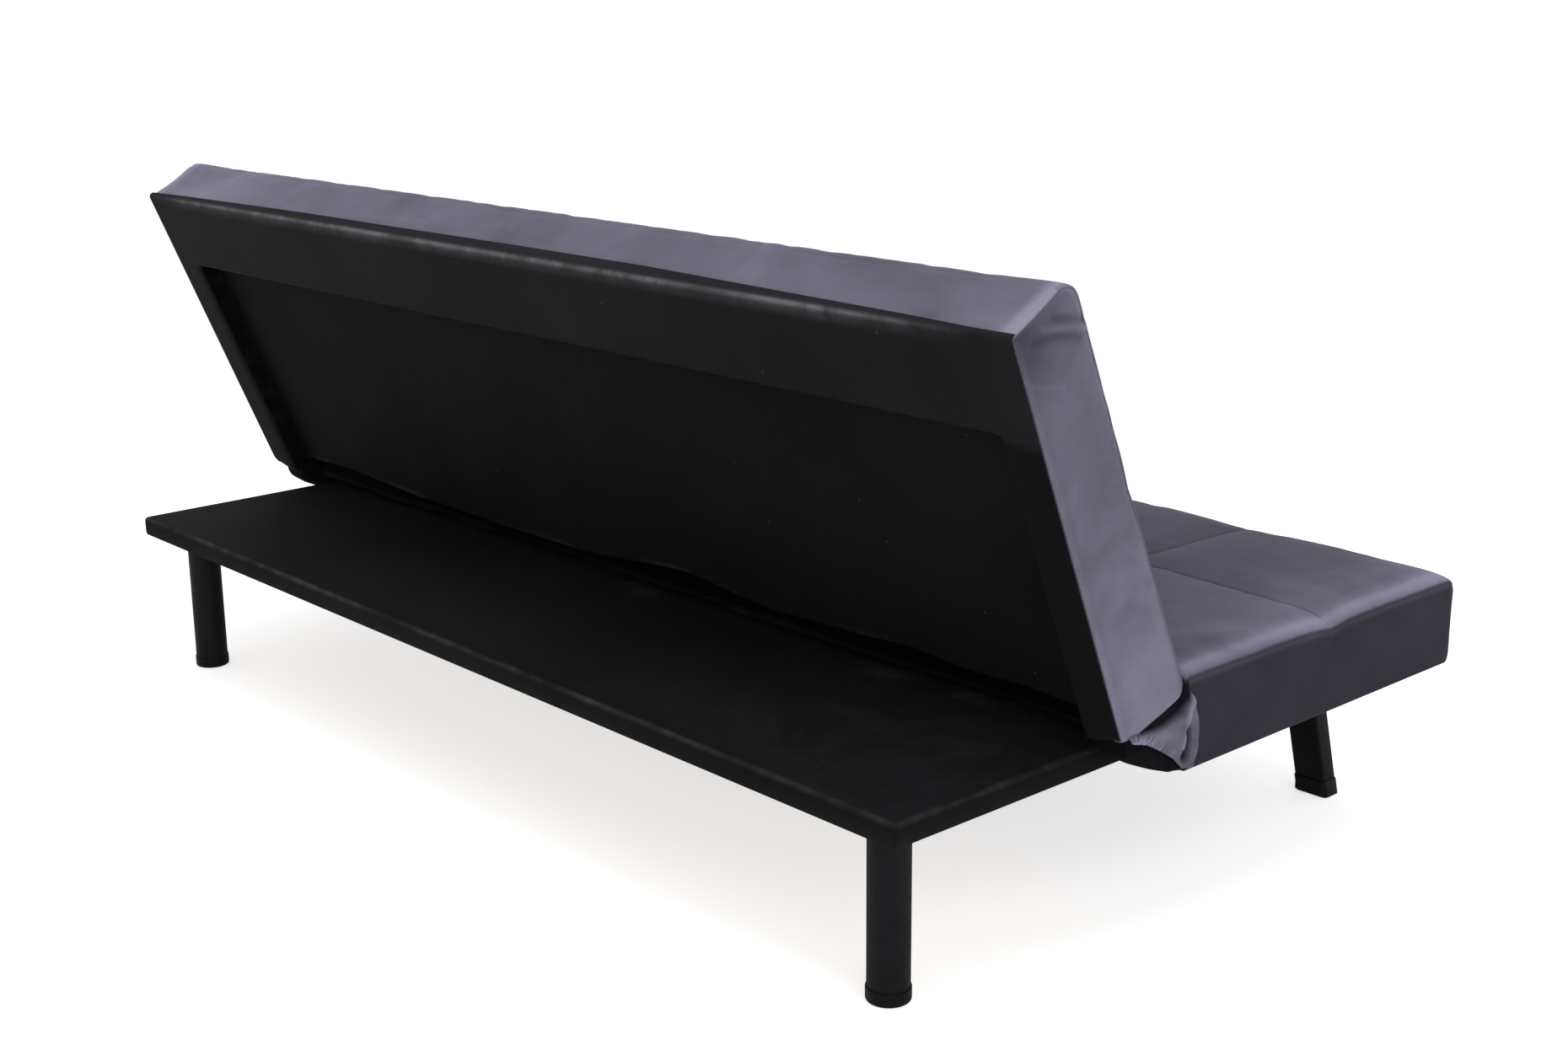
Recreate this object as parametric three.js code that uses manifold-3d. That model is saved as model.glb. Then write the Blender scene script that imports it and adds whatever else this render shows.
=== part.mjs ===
// Click clack sofa bed, in millimetres, +Z up.
// The origin is on the floor, under the middle of the footprint.
// The front faces -Y, and left and right are as seen by someone who stands in front of it.
import * as THREE from 'three';
import { mergeVertices } from 'three/addons/utils/BufferGeometryUtils.js';
import Module from 'manifold-3d';

const wasm = await Module();
wasm.setup();

// Overall sizes
const sofaLength = 1800;
const footprintDepth = 940;
const fitGap = 0.3;
const cutOverrun = 5;

// Fold of the backrest: its angle above the flat position as it stands here
const foldDegrees = 67.8;
const pivotBehindSeat = 19;
const pivotAboveUnderside = 101;

// Base deck: a wooden frame and panel in black cloth
const deckUnderside = 211;
const deckThickness = 30;
const deckFromEnd = 66;
const deckFromFront = 60;
const deckEdgeRound = 7;
const deckCornerRound = 6;
const deckCloth = 1.5;
const deckClothReturn = 28;
const deckRailWidth = 38;
const deckPanelThickness = 3;
const deckCrossRailWidth = 60;

// Rear legs: round, with a ferrule
const rearLegDiameter = 48.4;
const rearLegFromDeckEnd = 70.4;
const rearLegFromDeckRear = 63.3;
const rearCapHeight = 16;
const rearCapRound = 3;

// Front legs: flat planks that lean forward, with a ferrule
const frontLegWidth = 46;
const frontLegThickness = 30;
const frontLegRound = 5;
const frontLegFromDeckEnd = 89;
const frontLegTopFromDeck = 48;
const frontLegRake = 61;
const frontCapHeight = 24;

// What the legs share
const legChamfer = 1.5;
const capWall = 1;
const capFloor = 4;
const legBoltDiameter = 8;
const legBoltInLeg = 24;
const legBoltBore = 8.6;
const cornerBlockLength = 74;
const cornerBlockWidth = 52;

// Seat slab
const seatDepth = 554;
const seatEdgeThickness = 117;
const skirtLift = 1;
const skirt = 9;

// Backrest slab, as it lies when it is folded flat
const backHeight = 492;
const backRootThickness = 119.1;
const backTopThickness = 106;
const backRootFromPivot = 2.3;
const backRootLean = 7.8;
const backTopLean = 16;
const backRestGap = 0.3;

// Quilting: six panels by two, with a seam between panels
const panelColumns = 6;
const panelRows = 2;
const seamHalfWidth = 9;
const panelPuff = 7;
const puffFullness = 0.7;
const crown = 7;
const crownFlatness = 4;
const planCorner = 14;
const sideDrawIn = 2;
const hemRound = 7;
const endRoll = 30;
const endRollDrop = 9;
const frontRoll = 36;
const frontRollDrop = 30;
const hingeRoll = 14;
const hingeRollDrop = 14;

// Wooden frames inside the slabs
const railTop = 57;
const railBottom = 1;
const sideRailWidth = 30;
const railEase = 2;
const boardThickness = 4;
const seatFrontRailWidth = 41;
const seatRearRailWidth = 34;
const seatCrossRailWidth = 45;
const paddingThickness = 13;
const backTopRailWidth = 45;
const backMiddleRailWidth = 30;
const backBottomRailWidth = 40;
const backUprightWidth = 45;
const sideRailFromPivot = 20;

// Recess in the rear of the backrest, which drops over the deck when it lies flat
const recessFromEnd = 54;
const recessFromTop = 120;
const recessDepth = 32;
const dustCloth = 1.5;

// Ratchet fitting: layers from the side rail outwards, each one plate thick
const plateThickness = 3;
const cheekThickness = 2;
const armBarHeight = 28;
const armBarBelowPivot = 62;
const armBarNear = 60;
const armBarFar = 250;
const armScrewHole = 6;
const hubRadius = 12;
const rivetDiameter = 10;
const rivetHeadRadius = 9;
const rivetHeadThickness = 2.4;
const toothTipRadius = 36;
const toothRootRadius = 30;
const sectorStart = 181;
const sectorEnd = 269;
const loungeDegrees = 33.8;
const notchRampDegrees = 9;
const notchFloorDegrees = 3;
const notchLockDegrees = 3.6;
const pawlMeetDegrees = 265;
const pawlTipGap = 0.4;
const pawlTipWidth = 3.4;
const pawlPinAhead = 34;
const pawlPinBelow = 50;
const pawlPinDiameter = 8;
const pawlBossRadius = 8;
const armLip = 10;
const seatHubStart = -20;
const seatHubEnd = 150;
const backHubStart = 45;
const cheekWrapDegrees = 80;
const pawlBossStart = 70;
const pawlBossEnd = 270;
const pawlBarHeight = 9;
const pawlNoseBehind = 2;
const pawlNoseDrop = 5;
const springThickness = 1;
const springWidth = 2.4;
const springLead = 22;
const springFoot = 6;

// Cloth that closes the hinge gap: a hanging belly of black cloth and a velvet gusset at each end
const gussetThickness = 1.2;
const gussetBelly = 12;
const gussetBellyBehind = 10;
const gussetSewnUp = 44;
const gussetEndSewnUp = 9;
const gussetOverDeck = 3;
const endGussetInset = 5;
const endGussetTop = 22;

// Materials
const velvet = new THREE.MeshStandardMaterial({ color: 0x5b5863, roughness: 0.75, metalness: 0 });
const blackCloth = new THREE.MeshStandardMaterial({ color: 0x1d1e20, roughness: 0.9, metalness: 0 });
const pine = new THREE.MeshStandardMaterial({ color: 0xc9a46c, roughness: 0.7, metalness: 0 });
const plywood = new THREE.MeshStandardMaterial({ color: 0xb98f5a, roughness: 0.75, metalness: 0 });
const foam = new THREE.MeshStandardMaterial({ color: 0xe9e2cf, roughness: 0.95, metalness: 0 });
const blackWood = new THREE.MeshStandardMaterial({ color: 0x232426, roughness: 0.45, metalness: 0 });
const blackPlastic = new THREE.MeshStandardMaterial({ color: 0x18191b, roughness: 0.5, metalness: 0 });
const steel = new THREE.MeshStandardMaterial({ color: 0x9a9c9f, roughness: 0.4, metalness: 1 });

// Places that follow from the sizes
const halfLength = sofaLength / 2;
const seatFront = -footprintDepth / 2;
const seatRear = seatFront + seatDepth;
const deckRear = footprintDepth / 2;
const deckFront = seatFront + deckFromFront;
const deckHalfLength = halfLength - deckFromEnd;
const deckTop = deckUnderside + deckThickness;
const slabUnderside = deckUnderside + skirtLift;
const pivotY = seatRear + pivotBehindSeat;
const pivotZ = slabUnderside + pivotAboveUnderside;
const backUnderside = backRestGap - pivotAboveUnderside;
const boardBottom = railTop + fitGap;
const foamBottom = boardBottom + boardThickness + fitGap;
const cavityHalf = halfLength - skirt;
const recessHalfLength = halfLength - recessFromEnd;
const recessRailInner = recessHalfLength + dustCloth + fitGap;
const seatRailOuter = recessRailInner + sideRailWidth;
const layerSeatArm = seatRailOuter + fitGap;
const layerBackArm = layerSeatArm + plateThickness + fitGap;
const layerCheek = layerBackArm + plateThickness + fitGap;
const layerRivetHead = layerCheek + cheekThickness + fitGap;
const backRailOuter = layerBackArm - fitGap;
const pocketInner = layerSeatArm - rivetHeadThickness - 2 * fitGap;

const radians = THREE.MathUtils.degToRad;
const lerp = THREE.MathUtils.lerp;
const axisX = new THREE.Vector3(1, 0, 0);
const axisY = new THREE.Vector3(0, 1, 0);
const axisZ = new THREE.Vector3(0, 0, 1);

// A closed geometry as a solid, and back again
function solid(geometry) {
  const bare = geometry.clone();
  bare.deleteAttribute('normal');
  bare.deleteAttribute('uv');
  const merged = mergeVertices(bare);
  const mesh = new wasm.Mesh({
    numProp: 3,
    vertProperties: new Float32Array(merged.attributes.position.array),
    triVerts: new Uint32Array(merged.index.array),
  });
  return new wasm.Manifold(mesh);
}

function geometryOf(body) {
  const mesh = body.getMesh();
  const geometry = new THREE.BufferGeometry();
  geometry.setAttribute('position', new THREE.BufferAttribute(mesh.vertProperties, 3));
  geometry.setIndex(new THREE.BufferAttribute(mesh.triVerts, 1));
  return geometry;
}

function joined(bodies) {
  return bodies.reduce((all, body) => all.add(body));
}

function without(body, cuts) {
  return cuts.reduce((left, cut) => left.subtract(cut), body);
}

// A geometry seen in a mirror across the middle of the sofa
function mirrored(geometry) {
  const copy = geometry.clone();
  copy.scale(-1, 1, 1);
  const index = copy.index.array;
  for (let i = 0; i < index.length; i += 3) {
    [index[i], index[i + 1]] = [index[i + 1], index[i]];
  }
  return copy;
}

function box(x0, x1, y0, y1, z0, z1) {
  const geometry = new THREE.BoxGeometry(x1 - x0, y1 - y0, z1 - z0);
  return geometry.translate((x0 + x1) / 2, (y0 + y1) / 2, (z0 + z1) / 2);
}

// A rectangle with rounded corners
function roundedRectangle(x0, x1, y0, y1, round) {
  const shape = new THREE.Shape();
  shape.moveTo(x0 + round, y0);
  shape.lineTo(x1 - round, y0);
  shape.absarc(x1 - round, y0 + round, round, -Math.PI / 2, 0);
  shape.lineTo(x1, y1 - round);
  shape.absarc(x1 - round, y1 - round, round, 0, Math.PI / 2);
  shape.lineTo(x0 + round, y1);
  shape.absarc(x0 + round, y1 - round, round, Math.PI / 2, Math.PI);
  shape.lineTo(x0, y0 + round);
  shape.absarc(x0 + round, y0 + round, round, Math.PI, Math.PI * 1.5);
  return shape;
}

// A shape drawn in Y and Z, extruded along X
function alongX(shape, x0, x1, curveSegments = 2) {
  const geometry = new THREE.ExtrudeGeometry(shape, { depth: x1 - x0, bevelEnabled: false, curveSegments });
  geometry.applyMatrix4(new THREE.Matrix4().makeBasis(axisY, axisZ, axisX));
  return geometry.translate(x0, 0, 0);
}

// A shape drawn in Z and X, extruded along Y
function alongY(shape, y0, y1, curveSegments = 2) {
  const geometry = new THREE.ExtrudeGeometry(shape, { depth: y1 - y0, bevelEnabled: false, curveSegments });
  geometry.applyMatrix4(new THREE.Matrix4().makeBasis(axisZ, axisX, axisY));
  return geometry.translate(0, y0, 0);
}

// Planed timber with eased edges, along X or along Y
function beamX(x0, x1, y0, y1, z0, z1, ease = railEase) {
  return alongX(roundedRectangle(y0, y1, z0, z1, ease), x0, x1);
}

function beamY(x0, x1, y0, y1, z0, z1, ease = railEase) {
  return alongY(roundedRectangle(z0, z1, x0, x1, ease), y0, y1);
}

// A turned piece whose profile is given as radius and height
function turned(profile, segments) {
  const points = profile.map(([radius, height]) => new THREE.Vector2(radius, height));
  const geometry = new THREE.LatheGeometry(points, segments);
  return geometry.rotateX(Math.PI / 2);
}

function cylinderZ(radius, z0, z1, x, y, segments = 24) {
  const geometry = new THREE.CylinderGeometry(radius, radius, z1 - z0, segments);
  return geometry.rotateX(Math.PI / 2).translate(x, y, (z0 + z1) / 2);
}

function cylinderX(radius, x0, x1, y, z, segments = 24) {
  const geometry = new THREE.CylinderGeometry(radius, radius, x1 - x0, segments);
  return geometry.rotateZ(-Math.PI / 2).translate((x0 + x1) / 2, y, z);
}

const sofa = new THREE.Group();
const backrest = new THREE.Group();
backrest.position.set(0, pivotY, pivotZ);
backrest.rotation.x = radians(foldDegrees);
sofa.add(backrest);

function add(parent, name, geometry, material) {
  const mesh = new THREE.Mesh(geometry, material);
  mesh.name = name;
  parent.add(mesh);
  return mesh;
}

// A piece on the right and its mirror image on the left
function addPair(parent, name, geometry, material) {
  const clean = geometryOf(solid(geometry));
  add(parent, `${name}_right`, clean, material);
  add(parent, `${name}_left`, mirrored(clean), material);
}

// Base deck: rails and a panel inside a cloth skin that is turned under and stapled
function deckSkin(inset, z0, z1) {
  const round = deckEdgeRound - inset;
  const halfX = deckHalfLength - inset - round;
  const outline = roundedRectangle(
    -halfX, halfX, deckFront + inset + round, deckRear - inset - round, deckCornerRound - inset,
  );
  const geometry = new THREE.ExtrudeGeometry(outline, {
    depth: z1 - z0 - 2 * round,
    bevelThickness: round,
    bevelSize: round,
    bevelSegments: 3,
    curveSegments: 3,
  });
  return geometry.translate(0, 0, z0 + round);
}

function buildDeck() {
  const inner = deckCloth + fitGap;
  const railX = deckHalfLength - inner;
  const railFront = deckFront + inner;
  const railRear = deckRear - inner;
  const railZ = deckUnderside + inner;
  const panelTop = deckTop - inner;
  const railHigh = panelTop - deckPanelThickness - fitGap;
  const ease = deckEdgeRound;
  const endX = railX - deckEdgeRound - deckCornerRound;
  const openX = deckHalfLength - deckClothReturn;
  const mouth = box(
    -openX, openX, deckFront + deckClothReturn, deckRear - deckClothReturn,
    deckUnderside - cutOverrun, deckUnderside + deckThickness / 2,
  );
  const skin = without(solid(deckSkin(0, deckUnderside, deckTop)), [
    solid(deckSkin(deckCloth, deckUnderside + deckCloth, deckTop - deckCloth)),
    solid(mouth),
  ]);
  add(sofa, 'deck_cover', geometryOf(skin), blackCloth);
  const frontInner = railFront + deckRailWidth;
  const rearInner = railRear - deckRailWidth;
  add(sofa, 'deck_front_rail', beamX(-endX, endX, railFront, frontInner, railZ, railHigh, ease), pine);
  add(sofa, 'deck_rear_rail', beamX(-endX, endX, rearInner, railRear, railZ, railHigh, ease), pine);
  const side = beamY(
    railX - deckRailWidth, railX, frontInner + fitGap, rearInner - fitGap, railZ, railHigh, ease,
  );
  addPair(sofa, 'deck_side_rail', side, pine);
  const halfCross = deckCrossRailWidth / 2;
  const cross = beamY(-halfCross, halfCross, frontInner + fitGap, rearInner - fitGap, railZ, railHigh);
  add(sofa, 'deck_cross_rail', cross, pine);
  const panelInset = deckEdgeRound;
  const panel = box(
    -railX + panelInset, railX - panelInset, railFront + panelInset, railRear - panelInset,
    railHigh + fitGap, panelTop,
  );
  add(sofa, 'deck_panel', panel, plywood);
  return { railX, railZ, railHigh, frontInner, rearInner };
}

const deck = buildDeck();

// A threaded bolt that holds a leg to its corner block
function legBoltHole(x, y, legTop) {
  return solid(cylinderZ(legBoltBore / 2, legTop - legBoltInLeg, deck.railHigh + cutOverrun, x, y));
}

function addLegBolt(name, x, y, legTop) {
  const bottom = legTop - legBoltInLeg + fitGap;
  addPair(sofa, name, cylinderZ(legBoltDiameter / 2, bottom, deck.railHigh - fitGap, x, y, 16), steel);
}

// A rear leg: a turned post that stands in a cup-shaped ferrule
function buildRearLegs() {
  const x = deckHalfLength - rearLegFromDeckEnd;
  const y = deckRear - rearLegFromDeckRear;
  const radius = rearLegDiameter / 2;
  const top = deck.railZ - fitGap;
  const foot = capFloor + fitGap;
  const post = turned([
    [0, foot],
    [radius - legChamfer, foot],
    [radius, foot + legChamfer],
    [radius, top - legChamfer],
    [radius - legChamfer, top],
    [0, top],
  ], 40).translate(x, y, 0);
  addPair(sofa, 'rear_leg', geometryOf(without(solid(post), [legBoltHole(x, y, top)])), blackWood);
  const inner = radius + fitGap;
  const outer = inner + capWall;
  const corner = rearCapRound * (1 - Math.SQRT1_2);
  const cap = turned([
    [0, 0],
    [outer - rearCapRound, 0],
    [outer - corner, corner],
    [outer, rearCapRound],
    [outer, rearCapHeight],
    [inner, rearCapHeight],
    [inner, capFloor],
    [0, capFloor],
  ], 40).translate(x, y, 0);
  addPair(sofa, 'rear_leg_cap', cap, blackPlastic);
  addLegBolt('rear_leg_bolt', x, y, top);
  const blockOuter = deck.railX - deckRailWidth - fitGap;
  const block = box(
    blockOuter - cornerBlockLength, blockOuter,
    deck.rearInner - fitGap - cornerBlockWidth, deck.rearInner - fitGap, deck.railZ, deck.railHigh,
  );
  addPair(sofa, 'rear_corner_block', geometryOf(without(solid(block), [legBoltHole(x, y, top)])), pine);
}

// A front leg: a plank that is raked forward and cut level at both ends
function rakedPlank(width, thickness, round, z0, z1) {
  const shape = roundedRectangle(-width / 2, width / 2, -thickness / 2, thickness / 2, round);
  const geometry = new THREE.ExtrudeGeometry(shape, {
    depth: z1 - z0, bevelEnabled: false, curveSegments: 4,
  });
  const x = deckHalfLength - frontLegFromDeckEnd;
  const y = deckFront + frontLegTopFromDeck;
  geometry.translate(x, y - frontLegRake, z0);
  const rake = new THREE.Matrix4().makeShear(0, 0, 0, 0, 0, frontLegRake / deckUnderside);
  return geometry.applyMatrix4(rake);
}

function buildFrontLegs() {
  const x = deckHalfLength - frontLegFromDeckEnd;
  const y = deckFront + frontLegTopFromDeck;
  const top = deck.railZ - fitGap;
  const plank = rakedPlank(frontLegWidth, frontLegThickness, frontLegRound, capFloor + fitGap, top);
  addPair(sofa, 'front_leg', geometryOf(without(solid(plank), [legBoltHole(x, y, top)])), blackWood);
  const grow = 2 * (fitGap + capWall);
  const capOuter = rakedPlank(
    frontLegWidth + grow, frontLegThickness + grow, frontLegRound + capWall, 0, frontCapHeight,
  );
  const capInner = rakedPlank(
    frontLegWidth + 2 * fitGap, frontLegThickness + 2 * fitGap, frontLegRound,
    capFloor, frontCapHeight + cutOverrun,
  );
  addPair(sofa, 'front_leg_cap', geometryOf(without(solid(capOuter), [solid(capInner)])), blackPlastic);
  addLegBolt('front_leg_bolt', x, y, top);
  const blockOuter = deck.railX - deckRailWidth - fitGap;
  const blockFront = deck.frontInner + fitGap;
  const block = box(
    blockOuter - cornerBlockLength, blockOuter, blockFront, blockFront + cornerBlockWidth,
    deck.railZ, deck.railHigh,
  );
  addPair(sofa, 'front_corner_block', geometryOf(without(solid(block), [legBoltHole(x, y, top)])), pine);
}

buildRearLegs();
buildFrontLegs();

// Lines across a cushion, as shares of its half size: corners, seams and panel middles
function quiltLineShares(half, panels, cornerShare) {
  const lines = new Set();
  const seam = seamHalfWidth / half;
  for (let i = 0; i <= panels; i += 1) {
    const place = -1 + (2 * i) / panels;
    if (i > 0 && i < panels) {
      [place - seam, place, place + seam].forEach((line) => lines.add(line));
    }
    if (i < panels) {
      const step = 2 / panels;
      [place + step / 3, place + (2 * step) / 3].forEach((line) => lines.add(line));
    }
  }
  [cornerShare, cornerShare / 2, 0].forEach((share) => {
    lines.add(1 - share);
    lines.add(share - 1);
  });
  return [...lines].sort((a, b) => a - b);
}

// How far a panel is puffed up, from 0 on a seam to 1 in its middle
function puffShare(place, half, panels) {
  const panel = (2 * half) / panels;
  const inPanel = (((place + half) % panel) + panel) % panel;
  const toSeam = Math.min(inPanel, panel - inPanel);
  const inBorderHalf = half - Math.abs(place) < panel / 2;
  return inBorderHalf ? 1 : Math.sin((Math.PI * toSeam) / panel) ** puffFullness;
}

// A quilted slab: panels on top, rolled edges, drawn-in sides and a turned hem
function quiltedSlab({ front, rear, frontThickness, rearThickness, frontLean, rearLean, rolls }) {
  const middle = (front + rear) / 2;
  const half = (rear - front) / 2;
  const columns = quiltLineShares(halfLength, panelColumns, planCorner / halfLength);
  const rows = quiltLineShares(half, panelRows, planCorner / half);
  const sharpX = halfLength / endRoll;
  const sharpY = half / endRoll;
  const blend = (tx, ty, pick) => {
    const weights = [
      [Math.abs(tx) ** sharpX, rolls.end],
      [ty < 0 ? (-ty) ** sharpY : 0, rolls.front],
      [ty > 0 ? ty ** sharpY : 0, rolls.rear],
    ];
    const total = weights.reduce((sum, [weight]) => sum + weight, 0);
    return weights.reduce((sum, [weight, roll]) => sum + weight * pick(roll), 0) / total;
  };
  const thickness = (ty) => lerp(frontThickness, rearThickness, (ty + 1) / 2);
  const swell = (tx, ty) => {
    const body = crown * (1 - tx ** crownFlatness) * (1 - ty ** crownFlatness);
    const puff = puffShare(tx * halfLength, halfLength, panelColumns) * puffShare(ty * half, half, panelRows);
    return body + panelPuff * puff;
  };
  // One loop of the edge: inset shares the roll, and its height is measured down from the top
  const loops = [0, 0.25, 0.5, 0.75, 1].map((share) => ({
    inset: 1 - Math.sin((share * Math.PI) / 2),
    drop: 1 - Math.cos((share * Math.PI) / 2),
    round: lerp(hemRound, planCorner, share),
  }));
  const place = (tx, ty, inset, round) => {
    const roomX = halfLength - inset * rolls.end.inset;
    const high = rear - inset * rolls.rear.inset;
    const low = front + inset * rolls.front.inset;
    const x = tx * roomX;
    const y = lerp(low, high, (ty + 1) / 2);
    const cornerX = roomX - round;
    const cornerY = ty < 0 ? low + round : high - round;
    const overX = Math.abs(x) - cornerX;
    const overY = ty < 0 ? cornerY - y : y - cornerY;
    if (overX <= 0 || overY <= 0) {
      return [x, y];
    }
    const scale = round / Math.hypot(overX, overY);
    return [
      Math.sign(tx) * (cornerX + Math.min(overX, overX * scale)),
      cornerY + Math.sign(ty) * Math.min(overY, overY * scale),
    ];
  };
  const positions = [];
  const index = [];
  const addPoint = (x, y, up, ty) => {
    positions.push(x, y + lerp(frontLean, rearLean, (ty + 1) / 2) * (up / frontThickness), up);
    return positions.length / 3 - 1;
  };
  const topHeight = (tx, ty) => thickness(ty) + swell(tx, ty);
  const grid = rows.map((ty) => columns.map((tx) => {
    const border = Math.abs(tx) === 1 || Math.abs(ty) === 1;
    const [x, y] = place(tx, ty, loops[0].inset, border ? loops[0].round : 0);
    return addPoint(x, y, topHeight(tx, ty), ty);
  }));
  for (let j = 0; j < rows.length - 1; j += 1) {
    for (let i = 0; i < columns.length - 1; i += 1) {
      const [a, b, c, d] = [grid[j][i], grid[j][i + 1], grid[j + 1][i + 1], grid[j + 1][i]];
      index.push(a, b, c, a, c, d);
    }
  }
  // The border points in order, anticlockwise from above
  const last = columns.length - 1;
  const end = rows.length - 1;
  const border = [
    ...columns.slice(0, last).map((tx, i) => [tx, -1, grid[0][i]]),
    ...rows.slice(0, end).map((ty, j) => [1, ty, grid[j][last]]),
    ...columns.slice(1).map((tx, i) => [tx, 1, grid[end][i + 1]]).reverse(),
    ...rows.slice(1).map((ty, j) => [-1, ty, grid[j + 1][0]]).reverse(),
  ];
  let ring = border.map(([, , point]) => point);
  const bridge = (next) => {
    for (let i = 0; i < ring.length; i += 1) {
      const j = (i + 1) % ring.length;
      index.push(ring[i], next[i], next[j], ring[i], next[j], ring[j]);
    }
    ring = next;
  };
  for (const loop of loops.slice(1)) {
    bridge(border.map(([tx, ty]) => {
      const [x, y] = place(tx, ty, loop.inset, loop.round);
      const drop = blend(tx, ty, (roll) => roll.drop);
      const fade = 1 - loop.drop;
      return addPoint(x, y, thickness(ty) + swell(tx, ty) * fade - drop * loop.drop, ty);
    }));
  }
  const wall = (inset, up) => border.map(([tx, ty]) => {
    const [x, y] = place(tx, ty, 0, planCorner);
    const shrinkX = (halfLength - inset) / halfLength;
    const shrinkY = (half - inset) / half;
    return addPoint(x * shrinkX, middle + (y - middle) * shrinkY, up, ty);
  });
  bridge(wall(sideDrawIn, seatEdgeThickness / 2));
  bridge(wall(0, hemRound));
  bridge(wall(hemRound / 2, 0));
  const centre = addPoint(0, middle, 0, 0);
  ring.forEach((point, i) => index.push(point, centre, ring[(i + 1) % ring.length]));
  const geometry = new THREE.BufferGeometry();
  geometry.setAttribute('position', new THREE.Float32BufferAttribute(positions, 3));
  geometry.setIndex(index);
  return geometry;
}

const endRolled = { inset: endRoll, drop: endRollDrop };
const frontRolled = { inset: frontRoll, drop: frontRollDrop };
const hingeRolled = { inset: hingeRoll, drop: hingeRollDrop };

// A pocket for the ratchet fitting, drawn around the pivot and cut through both ends
function pocketPair(points, y, z) {
  const shape = new THREE.Shape(points.map(([py, pz]) => new THREE.Vector2(py + y, pz + z)));
  const pocket = alongX(shape, pocketInner, cavityHalf);
  return [solid(pocket), solid(mirrored(geometryOf(solid(pocket))))];
}

// Seat slab: rails on the deck, a board, a foam core and the quilted cover
function buildSeat() {
  const floor = slabUnderside + railBottom;
  const top = slabUnderside + railTop;
  const onDeck = deckTop + fitGap;
  const insideFront = seatFront + skirt + fitGap;
  const insideRear = seatRear - skirt - fitGap;
  const side = beamY(recessRailInner, seatRailOuter, insideFront, insideRear, floor, top);
  addPair(sofa, 'seat_side_rail', side, pine);
  const railEnd = recessRailInner - fitGap;
  const frontInner = insideFront + seatFrontRailWidth;
  add(sofa, 'seat_front_rail', beamX(-railEnd, railEnd, insideFront, frontInner, floor, top), pine);
  const rearInner = insideRear - seatRearRailWidth;
  add(sofa, 'seat_rear_rail', beamX(-railEnd, railEnd, rearInner, insideRear, onDeck, top), pine);
  const crossX = sofaLength / panelColumns;
  const halfCross = seatCrossRailWidth / 2;
  const cross = beamY(
    crossX - halfCross, crossX + halfCross, frontInner + fitGap, rearInner - fitGap, onDeck, top,
  );
  addPair(sofa, 'seat_cross_rail', cross, pine);
  const board = box(
    -seatRailOuter, seatRailOuter, insideFront, insideRear,
    slabUnderside + boardBottom, slabUnderside + boardBottom + boardThickness,
  );
  add(sofa, 'seat_board', board, plywood);
  const foamTop = slabUnderside + seatEdgeThickness - paddingThickness;
  const foamX = cavityHalf - fitGap;
  const core = box(-foamX, foamX, insideFront, insideRear, slabUnderside + foamBottom, foamTop - fitGap);
  const pocket = pocketPair([
    [cutOverrun - pivotBehindSeat, -armBarBelowPivot - armBarHeight / 2 - cutOverrun],
    [cutOverrun - pivotBehindSeat, legChamfer],
    [-toothTipRadius - legChamfer, legChamfer],
    [-armBarNear - cutOverrun, -armBarBelowPivot + armBarHeight / 2 + cutOverrun],
    [-armBarNear - cutOverrun, -armBarBelowPivot - armBarHeight / 2 - cutOverrun],
  ], pivotY, pivotZ);
  add(sofa, 'seat_foam', geometryOf(without(solid(core), pocket)), foam);
  const slab = quiltedSlab({
    front: seatFront,
    rear: seatRear,
    frontThickness: seatEdgeThickness,
    rearThickness: seatEdgeThickness,
    frontLean: 0,
    rearLean: 0,
    rolls: { end: endRolled, front: frontRolled, rear: hingeRolled },
  });
  slab.translate(0, 0, slabUnderside);
  const cavity = box(
    -cavityHalf, cavityHalf, seatFront + skirt, seatRear - skirt,
    slabUnderside - cutOverrun, foamTop,
  );
  const mouth = box(
    -recessHalfLength, recessHalfLength, seatRear - skirt - cutOverrun, seatRear + cutOverrun,
    slabUnderside - cutOverrun, onDeck,
  );
  const cover = without(solid(slab), [solid(cavity), solid(mouth), ...pocket]);
  add(sofa, 'seat_cover', geometryOf(cover), velvet);
}

buildSeat();

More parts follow.
